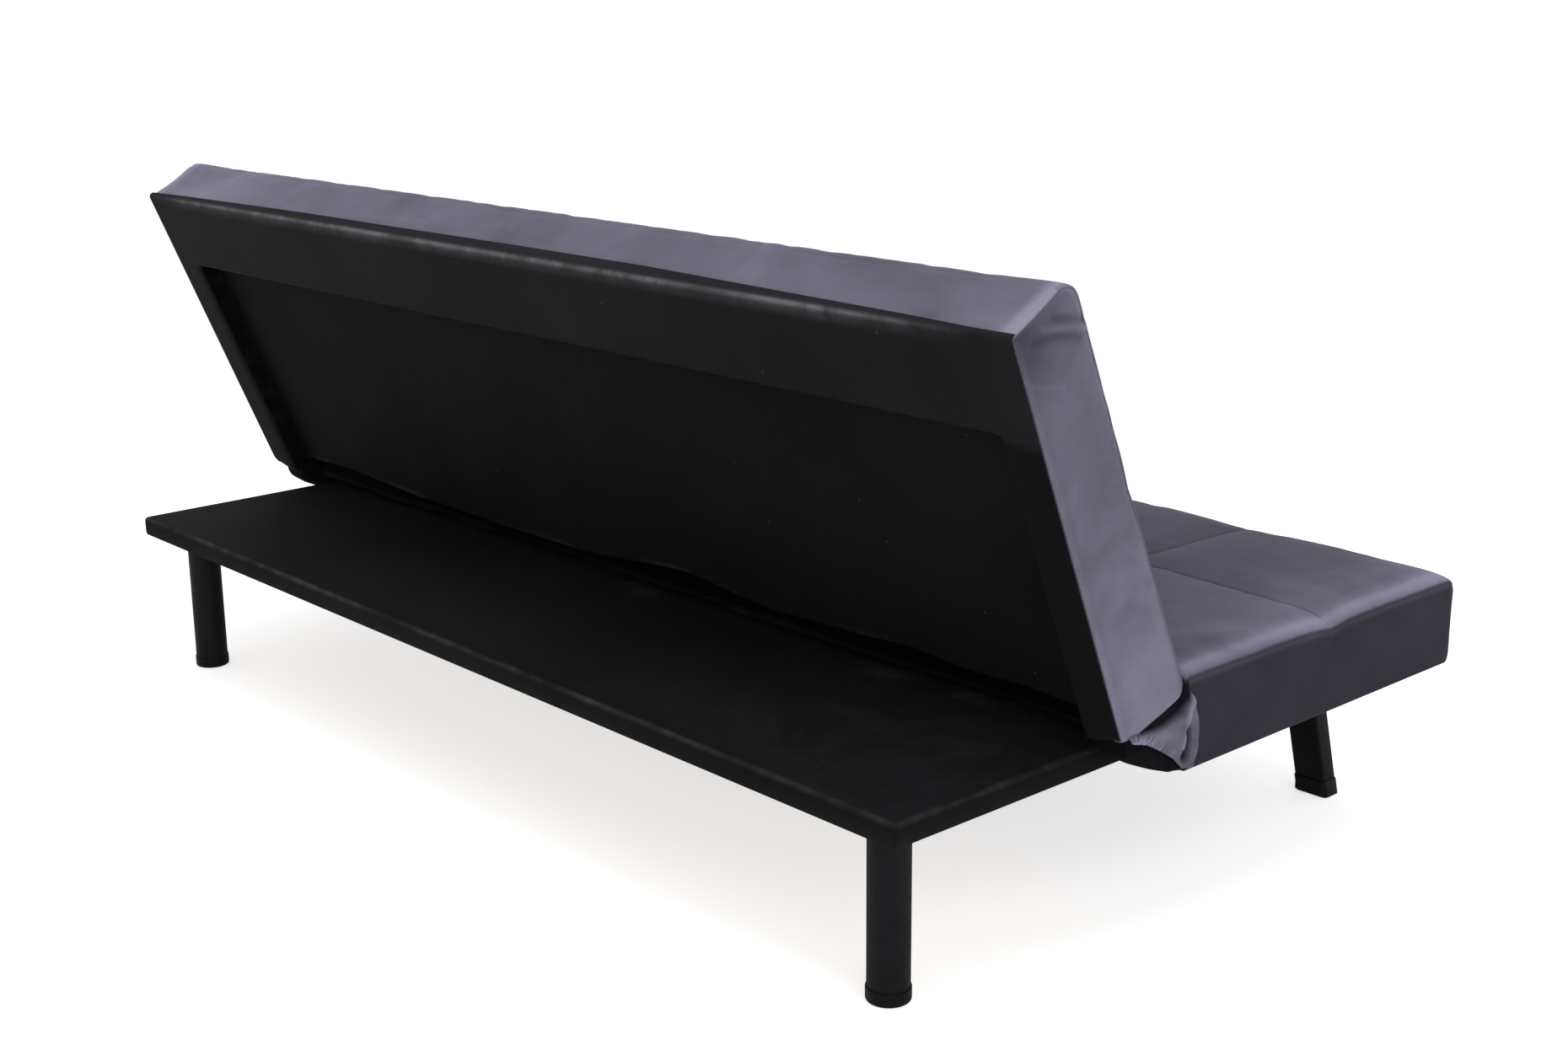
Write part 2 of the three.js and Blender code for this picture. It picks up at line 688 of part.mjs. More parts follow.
// Backrest slab, drawn as it lies flat, with heights measured from its underside
function buildBackrest() {
  const slabGroup = new THREE.Group();
  slabGroup.position.z = backUnderside;
  backrest.add(slabGroup);
  const root = backRootFromPivot;
  const tip = root + backHeight;
  const insideRoot = root + backRootLean + skirt;
  const insideTip = tip - skirt;
  const recessTop = tip - recessFromTop;
  const clothRail = dustCloth + fitGap;
  const overRecess = recessDepth + dustCloth + fitGap;
  const railEnd = recessRailInner - fitGap;
  const side = beamY(
    recessRailInner, backRailOuter, sideRailFromPivot, insideTip - fitGap, clothRail, railTop,
  );
  addPair(slabGroup, 'back_side_rail', side, pine);
  const topInner = insideTip - fitGap - backTopRailWidth;
  const topRail = beamX(-railEnd, railEnd, topInner, insideTip - fitGap, clothRail, railTop);
  add(slabGroup, 'back_top_rail', topRail, pine);
  const middleNear = recessTop + clothRail;
  const middleFar = middleNear + backMiddleRailWidth;
  const middleRail = beamX(-railEnd, railEnd, middleNear, middleFar, clothRail, railTop);
  add(slabGroup, 'back_middle_rail', middleRail, pine);
  const bottomFar = sideRailFromPivot + backBottomRailWidth;
  const bottomRail = beamX(-railEnd, railEnd, sideRailFromPivot, bottomFar, overRecess, railTop);
  add(slabGroup, 'back_bottom_rail', bottomRail, pine);
  const uprightX = sofaLength / panelColumns;
  const halfUpright = backUprightWidth / 2;
  const upright = beamY(
    uprightX - halfUpright, uprightX + halfUpright,
    bottomFar + fitGap, middleNear - fitGap, overRecess, railTop,
  );
  addPair(slabGroup, 'back_upright', upright, pine);
  const board = box(
    -seatRailOuter, seatRailOuter, sideRailFromPivot, insideTip - fitGap,
    boardBottom, boardBottom + boardThickness,
  );
  add(slabGroup, 'back_board', board, plywood);

  // Foam core and the room for it taper towards the top of the backrest
  const core = (gap) => {
    const low = insideRoot + gap;
    const high = insideTip - gap;
    const topAt = (thickness) => thickness - paddingThickness - gap;
    return new THREE.Shape([
      new THREE.Vector2(low, foamBottom),
      new THREE.Vector2(high, foamBottom),
      new THREE.Vector2(high, topAt(backTopThickness)),
      new THREE.Vector2(low, topAt(backRootThickness)),
    ]);
  };
  const foamX = cavityHalf - fitGap;
  const pocket = pocketPair([
    [-cutOverrun, toothTipRadius / 2 - armBarBelowPivot - armBarHeight / 2],
    [-cutOverrun, hubRadius + legChamfer],
    [hubRadius - legChamfer, hubRadius + legChamfer],
    [armBarNear + 2 * cutOverrun, armBarHeight / 2 + cutOverrun - armBarBelowPivot],
    [armBarNear + 2 * cutOverrun, toothTipRadius / 2 - armBarBelowPivot - armBarHeight / 2],
  ], 0, -backUnderside);
  const foamBody = without(solid(alongX(core(fitGap), -foamX, foamX)), pocket);
  add(slabGroup, 'back_foam', geometryOf(foamBody), foam);
  const slab = quiltedSlab({
    front: root,
    rear: tip,
    frontThickness: backRootThickness,
    rearThickness: backTopThickness,
    frontLean: backRootLean,
    rearLean: backTopLean,
    rolls: { end: endRolled, front: hingeRolled, rear: frontRolled },
  });
  const hollow = box(-cavityHalf, cavityHalf, insideRoot, insideTip, -cutOverrun, foamBottom);
  const mouth = box(
    -recessHalfLength - dustCloth - fitGap, recessHalfLength + dustCloth + fitGap,
    -cutOverrun, insideRoot + cutOverrun, -cutOverrun, overRecess,
  );
  const cover = without(solid(slab), [
    solid(hollow), solid(alongX(core(0), -cavityHalf, cavityHalf)), solid(mouth), ...pocket,
  ]);
  add(slabGroup, 'back_cover', geometryOf(cover), velvet);

  // Black cloth on the rear: a band and side borders, the recess walls and its floor
  const clothX = cavityHalf - fitGap;
  const clothRoot = insideRoot + fitGap;
  const clothTip = insideTip - fitGap;
  const wallX = recessHalfLength + dustCloth;
  const floorTop = recessDepth + dustCloth;
  const sheet = without(solid(box(-clothX, clothX, clothRoot, clothTip, 0, dustCloth)), [
    solid(box(-wallX, wallX, clothRoot - cutOverrun, recessTop, -cutOverrun, cutOverrun)),
  ]);
  const wall = box(recessHalfLength, wallX, clothRoot, recessTop + dustCloth, 0, floorTop);
  const dustCover = joined([
    sheet,
    solid(wall),
    solid(wall.clone().translate(-recessHalfLength - wallX, 0, 0)),
    solid(box(-wallX, wallX, recessTop, recessTop + dustCloth, 0, floorTop)),
    solid(box(-wallX, wallX, clothRoot, recessTop + dustCloth, recessDepth, floorTop)),
  ]);
  add(slabGroup, 'back_dust_cover', geometryOf(dustCover), blackCloth);
}

buildBackrest();

// A point at a radius and an angle around the pivot, in degrees from rearwards to upwards
function around(radius, degrees) {
  return new THREE.Vector2(radius * Math.cos(radians(degrees)), radius * Math.sin(radians(degrees)));
}

function roundHole(y, z, radius) {
  const hole = new THREE.Path();
  hole.absarc(y, z, radius, 0, Math.PI * 2, true);
  return hole;
}

// The bar of an arm, from its far end to its near end, and the screw holes in it
function armScrewHoles(side) {
  const inset = armBarHeight / 2;
  const far = armBarFar - inset;
  const near = armBarNear + inset + armScrewHole;
  return [far, (far + near) / 2, near].map((y) => roundHole(side * y, -armBarBelowPivot, armScrewHole / 2));
}

// The toothed sector of the backrest arm: a notch has a ramp on one side and a steep lock on the other
function sectorPoints() {
  const points = [around(toothTipRadius, sectorStart)];
  for (const held of [foldDegrees, loungeDegrees]) {
    const notch = pawlMeetDegrees - held;
    points.push(around(toothTipRadius, notch - notchRampDegrees));
    points.push(around(toothRootRadius, notch - notchFloorDegrees));
    points.push(around(toothRootRadius, notch + notchFloorDegrees));
    points.push(around(toothTipRadius, notch + notchLockDegrees));
    const land = (pawlMeetDegrees - loungeDegrees - notchRampDegrees - notch - notchLockDegrees) / 2;
    points.push(around(toothTipRadius, notch + notchLockDegrees + Math.abs(land)));
  }
  points.push(around(toothTipRadius, sectorEnd));
  return points;
}

// Ratchet fitting of one end, drawn on the right and mirrored to the left
function buildFitting() {
  const high = armBarHeight / 2 - armBarBelowPivot;
  const low = -armBarHeight / 2 - armBarBelowPivot;
  const rivetHole = rivetDiameter / 2 + fitGap;
  const pinHole = pawlPinDiameter / 2 + fitGap;

  const seatArm = new THREE.Shape();
  seatArm.moveTo(-armBarFar, low);
  seatArm.lineTo(-armBarNear, low);
  seatArm.lineTo(armLip - pawlPinAhead, -pawlPinBelow - armLip);
  seatArm.absarc(0, 0, hubRadius, radians(seatHubStart), radians(seatHubEnd), false);
  seatArm.lineTo(-armBarNear, high);
  seatArm.lineTo(-armBarFar, high);
  seatArm.holes.push(roundHole(0, 0, rivetHole), roundHole(-pawlPinAhead, -pawlPinBelow, pinHole));
  seatArm.holes.push(...armScrewHoles(-1));
  const seatArmPlate = alongX(seatArm, layerSeatArm, layerSeatArm + plateThickness, 8);
  addPair(sofa, 'seat_arm', seatArmPlate.translate(0, pivotY, pivotZ), steel);

  const backArm = new THREE.Shape();
  backArm.moveTo(armBarFar, low);
  backArm.lineTo(armBarFar, high);
  backArm.lineTo(armBarNear, high);
  backArm.absarc(0, 0, hubRadius, radians(backHubStart), radians(sectorStart), false);
  sectorPoints().forEach((point) => backArm.lineTo(point.x, point.y));
  backArm.lineTo(armBarNear, low);
  backArm.holes.push(roundHole(0, 0, rivetHole), ...armScrewHoles(1));
  const backArmPlate = alongX(backArm, layerBackArm, layerBackArm + plateThickness, 8);
  addPair(backrest, 'back_arm', backArmPlate, steel);

  const cheek = new THREE.Shape();
  const pinAngle = Math.atan2(-pawlPinBelow, -pawlPinAhead);
  const wrap = radians(cheekWrapDegrees);
  cheek.absarc(0, 0, hubRadius, pinAngle + wrap, pinAngle - wrap, false);
  cheek.absarc(-pawlPinAhead, -pawlPinBelow, pawlBossRadius, pinAngle - wrap, pinAngle + wrap, false);
  cheek.holes.push(roundHole(0, 0, rivetHole), roundHole(-pawlPinAhead, -pawlPinBelow, pinHole));
  const cheekPlate = alongX(cheek, layerCheek, layerCheek + cheekThickness, 10);
  addPair(sofa, 'cheek_plate', cheekPlate.translate(0, pivotY, pivotZ), steel);

  // A rivet or a pin through the layers, with a head at each end
  const headed = (radius, headRadius, y, z) => joined([
    solid(cylinderX(radius, layerSeatArm - fitGap, layerRivetHead, y, z)),
    solid(cylinderX(headRadius, layerSeatArm - fitGap - rivetHeadThickness, layerSeatArm - fitGap, y, z)),
    solid(cylinderX(headRadius, layerRivetHead, layerRivetHead + rivetHeadThickness, y, z)),
  ]);
  const rivet = headed(rivetDiameter / 2, rivetHeadRadius, pivotY, pivotZ);
  addPair(sofa, 'pivot_rivet', geometryOf(rivet), steel);
  const pinY = pivotY - pawlPinAhead;
  const pinZ = pivotZ - pawlPinBelow;
  const pin = solid(cylinderX(pawlPinDiameter / 2, layerSeatArm, layerCheek + cheekThickness, pinY, pinZ));
  addPair(sofa, 'pawl_pin', geometryOf(pin), steel);

  const tip = around(toothTipRadius + pawlTipGap, pawlMeetDegrees);
  const barTop = tip.y - pawlNoseDrop;
  const barLow = barTop - pawlBarHeight;
  const noseRear = tip.x + pawlTipWidth / 2 + pawlNoseBehind;
  const pawl = new THREE.Shape();
  const bossFrom = radians(pawlBossStart);
  pawl.absarc(-pawlPinAhead, -pawlPinBelow, pawlBossRadius, bossFrom, radians(pawlBossEnd), false);
  pawl.lineTo(noseRear, barLow);
  pawl.lineTo(noseRear, barTop);
  pawl.lineTo(tip.x + pawlTipWidth / 2, tip.y);
  pawl.lineTo(tip.x - pawlTipWidth / 2, tip.y);
  pawl.lineTo(tip.x - pawlTipWidth - pawlNoseBehind, barTop);
  pawl.holes.push(roundHole(-pawlPinAhead, -pawlPinBelow, pinHole));
  const pawlPlate = alongX(pawl, layerBackArm, layerBackArm + plateThickness, 10);
  addPair(sofa, 'pawl', pawlPlate.translate(0, pivotY, pivotZ), steel);

  // Leaf spring: its foot is clipped on the seat arm, and its free end lies under the pawl
  const barEnd = tip.x;
  const bossLow = -pawlPinBelow - pawlBossRadius;
  const under = lerp(bossLow, barLow, (barEnd + pawlPinAhead) / (noseRear + pawlPinAhead)) - fitGap;
  const leaf = new THREE.Shape();
  const foot = -armBarNear - springLead;
  leaf.moveTo(foot, low + springFoot);
  leaf.lineTo(foot + springFoot, low + springFoot);
  leaf.quadraticCurveTo(barEnd - springLead, low + springFoot, barEnd, under - springThickness);
  leaf.lineTo(barEnd, under);
  const bend = low + springFoot + springThickness * 2;
  leaf.quadraticCurveTo(barEnd - springLead, bend, foot, low + springFoot * 2);
  const leafX = layerBackArm;
  const leafPlate = alongX(leaf, leafX, leafX + springWidth, 10);
  addPair(sofa, 'pawl_spring', leafPlate.translate(0, pivotY, pivotZ), steel);
}

buildFitting();

// A thin sheet between two lines of points, one for each side, with closed edges
function sheetBetween(lower, upper) {
  const rows = lower.length;
  const count = lower[0].length;
  const positions = [];
  [lower, upper].forEach((side) => side.forEach((row) => row.forEach((point) => positions.push(...point))));
  const at = (side, j, i) => side * rows * count + j * count + i;
  const index = [];
  for (let j = 0; j < rows - 1; j += 1) {
    for (let i = 0; i < count - 1; i += 1) {
      index.push(at(0, j, i), at(0, j + 1, i + 1), at(0, j, i + 1));
      index.push(at(0, j, i), at(0, j + 1, i), at(0, j + 1, i + 1));
      index.push(at(1, j, i), at(1, j, i + 1), at(1, j + 1, i + 1));
      index.push(at(1, j, i), at(1, j + 1, i + 1), at(1, j + 1, i));
    }
  }
  const edge = [
    ...Array.from({ length: count - 1 }, (_, i) => [0, i]),
    ...Array.from({ length: rows - 1 }, (_, j) => [j, count - 1]),
    ...Array.from({ length: count - 1 }, (_, i) => [rows - 1, count - 1 - i]),
    ...Array.from({ length: rows - 1 }, (_, j) => [rows - 1 - j, 0]),
  ];
  edge.forEach(([j, i], k) => {
    const [nextJ, nextI] = edge[(k + 1) % edge.length];
    index.push(at(0, j, i), at(0, nextJ, nextI), at(1, nextJ, nextI));
    index.push(at(0, j, i), at(1, nextJ, nextI), at(1, j, i));
  });
  const geometry = new THREE.BufferGeometry();
  geometry.setAttribute('position', new THREE.Float32BufferAttribute(positions, 3));
  geometry.setIndex(index);
  return geometry;
}

// The section of the black gusset, from the backrest's underside to the seat
function gussetSection(sewnUp, seatZ) {
  const face = backRootFromPivot + (backRootLean * sewnUp) / backRootThickness;
  const sewnY = face - fitGap - gussetThickness;
  const sewnZ = backUnderside + sewnUp;
  const turn = radians(foldDegrees);
  const start = new THREE.Vector2(
    pivotY + sewnY * Math.cos(turn) - sewnZ * Math.sin(turn),
    pivotZ + sewnY * Math.sin(turn) + sewnZ * Math.cos(turn),
  );
  const finish = new THREE.Vector2(seatRear + fitGap + gussetThickness / 2, seatZ);
  const belly = new THREE.Vector2(start.x + gussetBellyBehind, (start.y + seatZ) / 2 - 2 * gussetBelly);
  return new THREE.QuadraticBezierCurve(start, belly, finish);
}

function buildGussets() {
  const seatZ = slabUnderside + hemRound;
  const overDeck = gussetSection(gussetSewnUp, deckTop + gussetOverDeck + gussetThickness);
  const pastDeck = gussetSection(gussetEndSewnUp, seatZ);
  const sheetEnd = halfLength - endGussetInset - fitGap;
  const deckEnd = deckHalfLength + gussetOverDeck;
  const stepEnd = recessHalfLength + gussetOverDeck;
  const panel = sofaLength / panelColumns;
  const ends = [deckEnd, stepEnd, sheetEnd];
  const seams = [-2 * panel, -panel, 0, panel, 2 * panel];
  const places = [...ends.map((x) => -x).reverse(), ...seams, ...ends];
  const steps = 8;
  const side = (offset) => Array.from({ length: steps + 1 }, (_, j) => places.map((x) => {
    const curve = Math.abs(x) > deckEnd ? pastDeck : overDeck;
    const point = curve.getPoint(j / steps);
    const along = curve.getTangent(j / steps);
    return [x, point.x - along.y * offset, point.y + along.x * offset];
  }));
  const sheet = sheetBetween(side(-gussetThickness / 2), side(gussetThickness / 2));
  add(sofa, 'joint_gusset', sheet, blackCloth);

  const gusset = new THREE.Shape();
  const curve = pastDeck.getPoints(steps);
  curve.forEach((point, i) => (i === 0 ? gusset.moveTo(point.x, point.y) : gusset.lineTo(point.x, point.y)));
  gusset.lineTo(seatRear + fitGap, slabUnderside + seatEdgeThickness - endGussetTop);
  const outer = halfLength - endGussetInset;
  const end = alongX(gusset, outer, outer + gussetThickness);
  addPair(sofa, 'end_gusset', end, velvet);
}

buildGussets();

export default sofa;
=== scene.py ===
# %% [markdown]
# # A click clack sofa bed, seen from behind
# The solids of the sofa come in as a fixed frame in metres, with +Z up and the front at -Y.
# This lesson dresses them: velvet cushions, black lining, painted legs and the cloth in the hinge.
# Most new pieces are parented to an empty named for the solid body that carries them.

# %% Load the frame
import math
from types import SimpleNamespace

import bmesh
import bpy
import numpy as np
from mathutils import Matrix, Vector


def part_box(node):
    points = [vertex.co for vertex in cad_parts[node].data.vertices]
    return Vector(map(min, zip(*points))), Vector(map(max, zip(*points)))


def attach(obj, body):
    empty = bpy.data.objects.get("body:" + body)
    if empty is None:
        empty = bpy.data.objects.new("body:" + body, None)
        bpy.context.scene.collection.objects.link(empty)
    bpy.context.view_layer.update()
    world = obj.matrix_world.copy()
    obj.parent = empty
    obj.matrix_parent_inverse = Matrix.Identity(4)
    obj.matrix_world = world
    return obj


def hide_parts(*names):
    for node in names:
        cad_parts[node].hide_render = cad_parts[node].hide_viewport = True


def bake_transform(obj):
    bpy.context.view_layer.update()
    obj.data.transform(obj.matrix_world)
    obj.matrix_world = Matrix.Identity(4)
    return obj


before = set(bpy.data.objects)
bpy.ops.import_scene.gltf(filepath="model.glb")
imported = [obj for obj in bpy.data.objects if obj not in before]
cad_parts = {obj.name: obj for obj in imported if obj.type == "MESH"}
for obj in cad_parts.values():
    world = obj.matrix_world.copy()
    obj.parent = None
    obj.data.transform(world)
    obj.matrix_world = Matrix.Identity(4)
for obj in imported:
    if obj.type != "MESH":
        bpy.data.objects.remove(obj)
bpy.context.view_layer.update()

# %% [markdown]
# ## Camera
# The photograph was taken from behind the left end, a little above the backrest.
# A camera fitted to its straight edges gives the place, the three angles and the lens.

# %% Set the camera
CAMERA_PLACE = (-2.207, 1.858, 1.083)
CAMERA_ANGLES = (227.894, 15.028, -0.4315)


def camera_axes(around, above, roll):
    """The camera's right, up and backward directions for three angles in degrees."""
    a, e, r = (math.radians(angle) for angle in (around, above, roll))
    back = np.array([math.sin(a) * math.cos(e), -math.cos(a) * math.cos(e), math.sin(e)])
    right = np.cross(-back, [0, 0, 1])
    right /= np.linalg.norm(right)
    up = np.cross(right, -back)
    return (
        math.cos(r) * right + math.sin(r) * up,
        math.cos(r) * up - math.sin(r) * right,
        back,
    )


camera_data = bpy.data.cameras.new("photo_camera")
camera_data.sensor_width = 36
camera_data.lens = 48.043
camera_data.shift_x = 0.0002
camera_data.shift_y = -0.0015
camera = bpy.data.objects.new("photo_camera", camera_data)
bpy.context.collection.objects.link(camera)
pose = Matrix.Identity(4)
for column, axis in enumerate((*camera_axes(*CAMERA_ANGLES), CAMERA_PLACE)):
    for row in range(3):
        pose[row][column] = axis[row]
camera.matrix_world = pose
bpy.context.scene.camera = camera
bpy.context.scene.view_settings.view_transform = "Standard"
print("lens:", camera_data.lens)

# %% [markdown]
# ## Small tools
# These few functions do what a hand does: pick one piece, pick some of its faces or edges,
# and give it its carrier. Materials get the same treatment: put a node down, join two sockets.

# %% Tools for selecting
def alone(piece):
    """Leave edit mode, and make one piece the only selected one."""
    if bpy.context.object and bpy.context.object.mode != "OBJECT":
        bpy.ops.object.mode_set(mode="OBJECT")
    bpy.ops.object.select_all(action="DESELECT")
    piece.select_set(True)
    bpy.context.view_layer.objects.active = piece


def pick(piece, kind, test):
    """In edit mode, select the vertices, edges or faces that pass a test."""
    alone(piece)
    bpy.ops.object.mode_set(mode="EDIT")
    bpy.ops.mesh.select_mode(type=kind)
    bpy.ops.mesh.select_all(action="DESELECT")
    mesh = bmesh.from_edit_mesh(piece.data)
    parts = {"VERT": mesh.verts, "EDGE": mesh.edges, "FACE": mesh.faces}[kind]
    for part in [part for part in parts if test(part)]:
        part.select_set(True)
    bpy.context.tool_settings.mesh_select_mode[:] = [kind == k for k in ("VERT", "EDGE", "FACE")]
    bmesh.update_edit_mesh(piece.data)


def rise(edge):
    """How far an edge climbs from one end to the other."""
    return abs(edge.verts[0].co.z - edge.verts[1].co.z)


def is_sharp(edge):
    """An edge where two faces meet at more than about 45 degrees."""
    return len(edge.link_faces) == 2 and edge.calc_face_angle(0) > 0.8


# %% Tools for meshes
def primitive(name, add, **settings):
    """Add one primitive with nothing else selected, and name it."""
    bpy.ops.object.select_all(action="DESELECT")
    add(**settings)
    bpy.context.object.name = name
    return bpy.context.object


def extrude_up(height):
    bpy.ops.mesh.extrude_region_move(TRANSFORM_OT_translate={"value": (0, 0, height)})


def turn_faces(piece, operator, **settings):
    """Apply an operator that turns faces round to the whole of a piece."""
    alone(piece)
    bpy.ops.object.mode_set(mode="EDIT")
    bpy.ops.mesh.select_all(action="SELECT")
    operator(**settings)
    bpy.ops.object.mode_set(mode="OBJECT")


def outwards(piece):
    turn_faces(piece, bpy.ops.mesh.normals_make_consistent, inside=False)


def points_of(piece):
    """The vertices of a piece as rows of x, y and z."""
    points = np.empty(len(piece.data.vertices) * 3)
    piece.data.vertices.foreach_get("co", points)
    return points.reshape(-1, 3)


def set_points(piece, points):
    piece.data.vertices.foreach_set("co", np.asarray(points, float).ravel())
    piece.data.update()


def paint(piece, name, values):
    """Keep one number for each vertex, for a material to read."""
    attribute = piece.data.attributes.new(name, "FLOAT", "POINT")
    attribute.data.foreach_set("value", np.asarray(values, np.float32))


def settle(piece):
    """Apply place, turn and size, so that the object sits at the origin."""
    alone(piece)
    bpy.ops.object.transform_apply(location=True, rotation=True, scale=True)


def finish_with(piece, kind, **settings):
    """Add one modifier to a piece and apply it."""
    alone(piece)
    modifier = piece.modifiers.new(kind.title(), kind)
    for name, value in settings.items():
        setattr(modifier, name, value)
    bpy.ops.object.modifier_apply(modifier=modifier.name)


def subdivide_smooth(piece):
    finish_with(piece, "SUBSURF", levels=1, render_levels=1)


def twin(piece, name):
    """A mirrored copy of a piece across the middle of the sofa, with its own mesh."""
    copy = piece.copy()
    copy.data = piece.data.copy()
    copy.name = name
    bpy.context.collection.objects.link(copy)
    set_points(copy, points_of(copy) * [-1, 1, 1])
    turn_faces(copy, bpy.ops.mesh.flip_normals)
    return copy


def dress(piece, material, body, node, angle=40):
    """Give a finished piece its material, its shading and, if given, its carrier, and hide the node it
    stands for.
    """
    alone(piece)
    bpy.ops.object.shade_smooth_by_angle(angle=math.radians(angle))
    piece.data.materials.clear()
    piece.data.materials.append(material)
    if body:
        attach(piece, body)
    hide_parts(node)
    print(piece.name, len(piece.data.polygons), "faces")


# %% Tools for numbers
def clamp(values):
    """Values kept between 0 and 1."""
    return np.clip(values, 0, 1)


def bell(distance, width):
    """1 at no distance, falling off softly over a width."""
    return np.exp(-((distance / width) ** 2))


def waves(x, y, seed, count, longest, shortest):
    """A fixed sum of soft ripples over x and y, about 1 high."""
    chance = np.random.default_rng(seed)
    total = np.zeros(len(x))
    for _ in range(count):
        length = chance.uniform(shortest, longest)
        turn = chance.uniform(0, math.pi)
        phase = chance.uniform(0, 2 * math.pi)
        total += np.sin((x * math.cos(turn) + y * math.sin(turn)) * 2 * math.pi / length + phase)
    return total / count


# %% Tools for materials
def fill(tree, socket, value):
    """Give a socket a plain value, or join it to another node's output, given as (node, output)."""
    if isinstance(value, tuple) and isinstance(value[0], bpy.types.Node):
        node, output = value
        tree.links.new(node.outputs[output], socket)
    else:
        socket.default_value = value


def feed(tree, node, **values):
    """Fill sockets of a node by their names, with _ for a space."""
    for name, value in values.items():
        fill(tree, node.inputs[name.replace("_", " ")], value)
    return node


def put(tree, kind, *values, **settings):
    """Place a node, set its options, and fill its first sockets in order and others by name."""
    node = tree.nodes.new(kind)
    for name in [name for name in settings if hasattr(node, name)]:
        setattr(node, name, settings.pop(name))
    for socket, value in zip(node.inputs, values):
        fill(tree, socket, value)
    return feed(tree, node, **settings)


def new_group(name, entries, exits):
    """A shader node group. An entry is a number if its value is one, and otherwise a vector."""
    group = bpy.data.node_groups.new(name, "ShaderNodeTree")
    for label, value in entries.items():
        kind = "NodeSocketFloat" if isinstance(value, float) else "NodeSocketVector"
        socket = group.interface.new_socket(label, in_out="INPUT", socket_type=kind)
        if value is not None:
            socket.default_value = value
    for label in exits:
        group.interface.new_socket(label, in_out="OUTPUT", socket_type="NodeSocketFloat")
    return group, put(group, "NodeGroupInput"), put(group, "NodeGroupOutput")


def new_finish(name, **sockets):
    """A material whose Principled shader has its constant values set on its own sockets."""
    material = bpy.data.materials.new(name)
    material.use_nodes = True
    tree = material.node_tree
    return material, tree, feed(tree, tree.nodes["Principled BSDF"], **sockets)


def use_group(tree, group, **values):
    """Place a node group in a material, on the piece's own coordinates."""
    coordinates = put(tree, "ShaderNodeTexCoord")
    return put(tree, "ShaderNodeGroup", node_tree=group, Place=(coordinates, "Object"), **values)


# %% Nodes that hand on their one output
def noise(tree, place, scale, detail=2.0, roughness=0.5, distortion=0.0):
    node = put(tree, "ShaderNodeTexNoise", Vector=place, Scale=scale, Detail=detail)
    return feed(tree, node, Roughness=roughness, Distortion=distortion), "Fac"


def attribute(tree, name):
    """The numbers that paint kept on the vertices."""
    return put(tree, "ShaderNodeAttribute", attribute_name=name), "Fac"


def maths(tree, operation, *values, **options):
    return put(tree, "ShaderNodeMath", *values, operation=operation, **options), 0


def rescale(tree, value, start=(0, 1), end=(0, 1)):
    """A value taken from one range to another, and kept inside it."""
    return put(tree, "ShaderNodeMapRange", value, *start, *end), "Result"


def ramp(tree, value, stops):
    """A colour ramp with stops of (place, colour)."""
    node = put(tree, "ShaderNodeValToRGB", value)
    elements = node.color_ramp.elements
    while len(elements) < len(stops):
        elements.new(0.5)
    for element, (place, colour) in zip(elements, stops):
        element.position = place
        element.color = (*colour, 1)
    return node, "Color"


def mixed(tree, share, first, second):
    """Two colours, mixed by a share of the second."""
    node = put(tree, "ShaderNodeMix", share, data_type="RGBA")
    fill(tree, node.inputs[6], first)
    fill(tree, node.inputs[7], second)
    return node, 2


def bump(tree, height, strength, distance, under=None):
    """A bumped normal, on top of another one if there is one."""
    node = put(tree, "ShaderNodeBump", Height=height, Strength=strength, Distance=distance)
    if under:
        feed(tree, node, Normal=under)
    return node, "Normal"


# %% [markdown]
# ## Velvet
# Velvet is a dense pile. It is dark when you look down into it and bright along its tips, so the
# shader gets a little sheen. The pile also lies in patches where hands have brushed it,
# which is what gives the cloth in the photograph its cloudy look.

# %% The nap of the velvet
nap, given, out = new_group(
    "velvet nap",
    {"Place": None, "Patch Scale": 5.0, "Streak Scale": 18.0, "Pile Scale": 1400.0},
    ["Brushed", "Pile"],
)
place = (given, "Place")
squeezed = put(nap, "ShaderNodeMapping", Vector=place, Scale=(0.35, 1.0, 1.0))
patches = noise(nap, place, (given, "Patch Scale"), 3.0, 0.55, 1.2)
streaks = noise(nap, (squeezed, "Vector"), (given, "Streak Scale"), 4.0, 0.6, 0.6)
brushed = maths(nap, "MULTIPLY_ADD", streaks, 0.35, maths(nap, "MULTIPLY", patches, 0.65))
feed(nap, out, Brushed=brushed, Pile=noise(nap, place, (given, "Pile Scale"), 2.0, 0.7))
print(nap.name, len(nap.nodes), "nodes")

# %% The velvet
LEVELS_OF_LIGHT = [
    (0.0, 0.007), (0.12, 0.028), (0.2, 0.038), (0.45, 0.086), (0.7, 0.160), (1.0, 0.300),
]


def velvet_shade(level):
    """The grey of the velvet, a little violet, at one level of light."""
    return (level, 0.94 * level, 1.28 * level)


